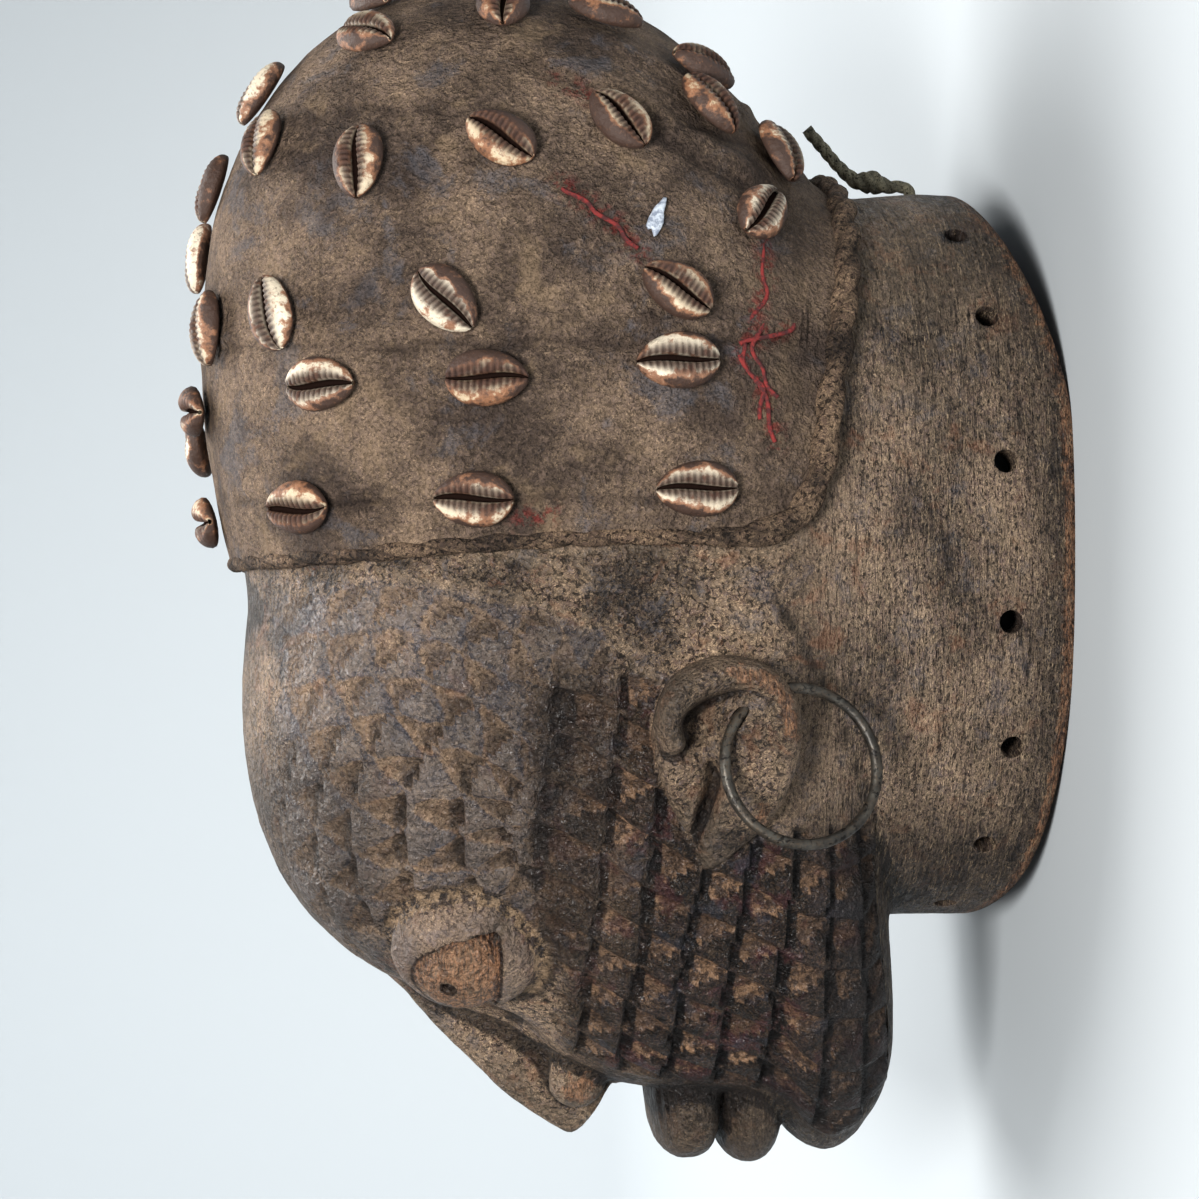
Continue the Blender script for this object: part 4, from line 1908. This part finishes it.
gloss = calculate(tree, "ADD", gloss, times(tree, cheek, 0.1))
put(tree, shader.inputs["Roughness"], calculate(tree, "SUBTRACT", 0.6, gloss))
shader.inputs["Specular IOR Level"].default_value = 0.25
dress(head, wood)
print("finished wood", len(tree.nodes), "nodes")

# %% [markdown]
# The cloth of the cap has been soaked and smoked until its weave is closed, so it shows the
# same crust, only finer, browner and duller. Dark blotches, darker seams and red stains are
# laid over it.

# %% Cap cloth
cloth, tree, shader = new_material("cap cloth")
place = object_place(tree)
surface = use_group(
    tree, crust, Place=place, Dark=screen(64, 53, 47), Middle=screen(112, 94, 82),
    Dust=screen(172, 146, 120), Cloud_Scale=30.0, Grain_Scale=760.0, Dust_Level=0.42,
    Pit_Level=0.35,
)
colour = use_group(
    tree, patches, Place=place, Color=surface["Color"], Cool=screen(88, 89, 96),
    Warm=screen(138, 116, 92), Scale=46.0, Strength=0.5,
)["Color"]
blotch = mask_between(tree, noise(tree, place, 42.0, 5.0, 0.66), 0.5, 0.64)
colour = blend(tree, times(tree, blotch, 0.5), colour, screen(58, 48, 44))
shaded = mask_between(tree, height_in(tree, place), 0.12, 0.075)
colour = blend(tree, times(tree, shaded, 0.35), colour, screen(62, 51, 45))
colour = blend(tree, times(tree, stored(tree, "seam"), 0.6), colour, screen(44, 35, 31))
red_streaks = mask_between(tree, noise(tree, place, 330.0, 4.0, 0.7), 0.47, 0.6)
red_stain = times(tree, stored(tree, "red"), red_streaks, 0.7)
colour = blend(tree, red_stain, colour, screen(112, 30, 28))
put(tree, shader.inputs["Base Color"], colour)
shader.inputs["Roughness"].default_value = 0.8
shader.inputs["Specular IOR Level"].default_value = 0.15
put(tree, shader.inputs["Normal"], relief_normal(tree, surface["Height"], 1.0, 0.004))
dress(cap, cloth)
print("cloth", len(tree.nodes), "nodes")

# %% [markdown]
# Both cords are plied, and the grooves between the plies stay darkest. The edge cord has
# the cap's crust on it, and the tie is bare grey fibre.

# %% Edge cord and tie
twine, tree, shader = new_material("crusted cord")
place = object_place(tree)
surface = use_group(
    tree, crust, Place=place, Dark=screen(38, 31, 28), Middle=screen(86, 69, 58),
    Dust=screen(156, 130, 104), Cloud_Scale=60.0, Grain_Scale=640.0, Dust_Level=0.35,
)
between_plies = mask_between(tree, stored(tree, "ply"), 0.5, 0.1)
colour = blend(tree, times(tree, between_plies, 0.6), surface["Color"], screen(32, 26, 23))
put(tree, shader.inputs["Base Color"], colour)
shader.inputs["Roughness"].default_value = 0.8
shader.inputs["Specular IOR Level"].default_value = 0.15
put(tree, shader.inputs["Normal"], relief_normal(tree, surface["Height"], 1.0, 0.003))
dress(edge_cord, twine)

fibre, tree, shader = new_material("plant fibre")
place = object_place(tree)
surface = use_group(
    tree, crust, Place=place, Dark=screen(82, 78, 64), Middle=screen(126, 120, 98),
    Dust=screen(160, 154, 130), Cloud_Scale=120.0, Grain_Scale=1000.0, Dust_Level=0.3,
)
between_plies = mask_between(tree, stored(tree, "ply"), 0.45, 0.1)
colour = blend(tree, times(tree, between_plies, 0.6), surface["Color"], screen(58, 54, 42))
put(tree, shader.inputs["Base Color"], colour)
shader.inputs["Roughness"].default_value = 0.9
put(tree, shader.inputs["Normal"], relief_normal(tree, surface["Height"], 1.0, 0.0012))
dress(tie, fibre)
print("fibre", len(tree.nodes), "nodes")

# %% [markdown]
# A cowrie is glazed ivory round its slit. On this old mask the glaze is worn and stained
# orange-brown down the flanks, with dirt over it, and the slit is dark between its teeth.
# The stain grows with the distance from the slit, and each shell has its own share of it.

# %% Cowrie shell
porcelain, tree, shader = new_material("cowrie shell")
place = object_place(tree)
tone = stored(tree, "tone")
ivory = blend(tree, tone, screen(230, 218, 196), screen(200, 178, 146))
spread = noise(tree, place, 170.0, 5.0, 0.66)
flank = mask_between(tree, stored(tree, "flank"), 0.5, 1.0)
stain_source = calculate(tree, "ADD", calculate(tree, "ADD", spread, times(tree, flank, 0.24)),
                         times(tree, tone, 0.1))
stain = mask_between(tree, stain_source, 0.53, 0.63)
shade = blend(tree, times(tree, stain, 0.9), ivory, screen(136, 84, 52))
dark_stain = mask_between(tree, stain_source, 0.63, 0.76)
shade = blend(tree, times(tree, dark_stain, 0.92), shade, screen(50, 36, 31))
speck = mask_between(tree, noise(tree, place, 900.0, 3.0, 0.7), 0.58, 0.66)
shade = blend(tree, times(tree, speck, 0.6), shade, screen(96, 66, 46))
valley = stored(tree, "valley")
shade = blend(tree, times(tree, valley, 0.92), shade, screen(76, 56, 49))
shade = blend(tree, times(tree, stored(tree, "teeth"), 0.85), shade, screen(36, 25, 21))
slit_mask = mask_between(tree, stored(tree, "slit"), 0.2, 0.7)
shade = blend(tree, slit_mask, shade, screen(26, 17, 14))
put(tree, shader.inputs["Base Color"], shade)
put(tree, shader.inputs["Roughness"], calculate(tree, "ADD", 0.36, times(tree, stain, 0.25)))
glaze = calculate(tree, "SUBTRACT", 0.45, times(tree, valley, 0.33))
glaze = times(tree, glaze, calculate(tree, "SUBTRACT", 1.0, slit_mask))
put(tree, shader.inputs["Specular IOR Level"], glaze)
put(tree, shader.inputs["Normal"],
    relief_normal(tree, noise(tree, place, 420.0, 5.0, 0.66), 1.0, 0.0008))
for shell in shells:
    dress(shell, porcelain)
print("shell", len(tree.nodes), "nodes")

# %% [markdown]
# The rings are drawn iron wire, rubbed dull and slightly rusty. Metal has no colour of its
# own under its reflections, so the colour goes into a metallic shader.

# %% Ring wire
iron, tree, shader = new_material("dull iron wire")
place = object_place(tree)
surface = use_group(
    tree, crust, Place=place, Dark=screen(50, 48, 45), Middle=screen(80, 77, 71),
    Dust=screen(88, 72, 56), Cloud_Scale=90.0, Grain_Scale=520.0, Dust_Level=0.3,
)
put(tree, shader.inputs["Base Color"], surface["Color"])
shader.inputs["Metallic"].default_value = 0.7
shader.inputs["Roughness"].default_value = 0.42
put(tree, shader.inputs["Normal"], relief_normal(tree, surface["Height"], 1.0, 0.0003))
for name in ("wire_ring_left", "wire_ring_right"):
    dress(bpy.data.objects[name], iron)
print("wire", len(tree.nodes), "nodes")

# %% [markdown]
# The threads are faded red cotton and the chip is pale and bluish. Their colour varies with a
# noise as well, because a single flat colour looks like plastic.

# %% Threads and chip
for name, light, dark, rough, pieces in (
    ("red thread", screen(124, 36, 33), screen(66, 24, 24), 0.9, thread_rings),
    ("pale chip", screen(196, 204, 214), screen(128, 136, 152), 0.5, [chip]),
):
    stuff, tree, shader = new_material(name)
    place = object_place(tree)
    patch = noise(tree, place, 500.0, 4.0, 0.65)
    faded = mask_between(tree, patch, 0.4, 0.6)
    put(tree, shader.inputs["Base Color"], blend(tree, faded, dark, light))
    shader.inputs["Roughness"].default_value = rough
    put(tree, shader.inputs["Normal"], relief_normal(tree, patch, 1.0, 0.0006))
    for piece in pieces:
        dress(piece, stuff)
print("red thread and pale chip dressed")

# %% [markdown]
# The backdrop is plain matt paper, a little darker than it looks, because the lights are strong.

# %% Backdrop paper
paper, tree, shader = new_material("pale backdrop")
shader.inputs["Base Color"].default_value = screen(184, 190, 194)
shader.inputs["Roughness"].default_value = 0.9
dress(backdrop, paper)
print("materials", len(bpy.data.materials))
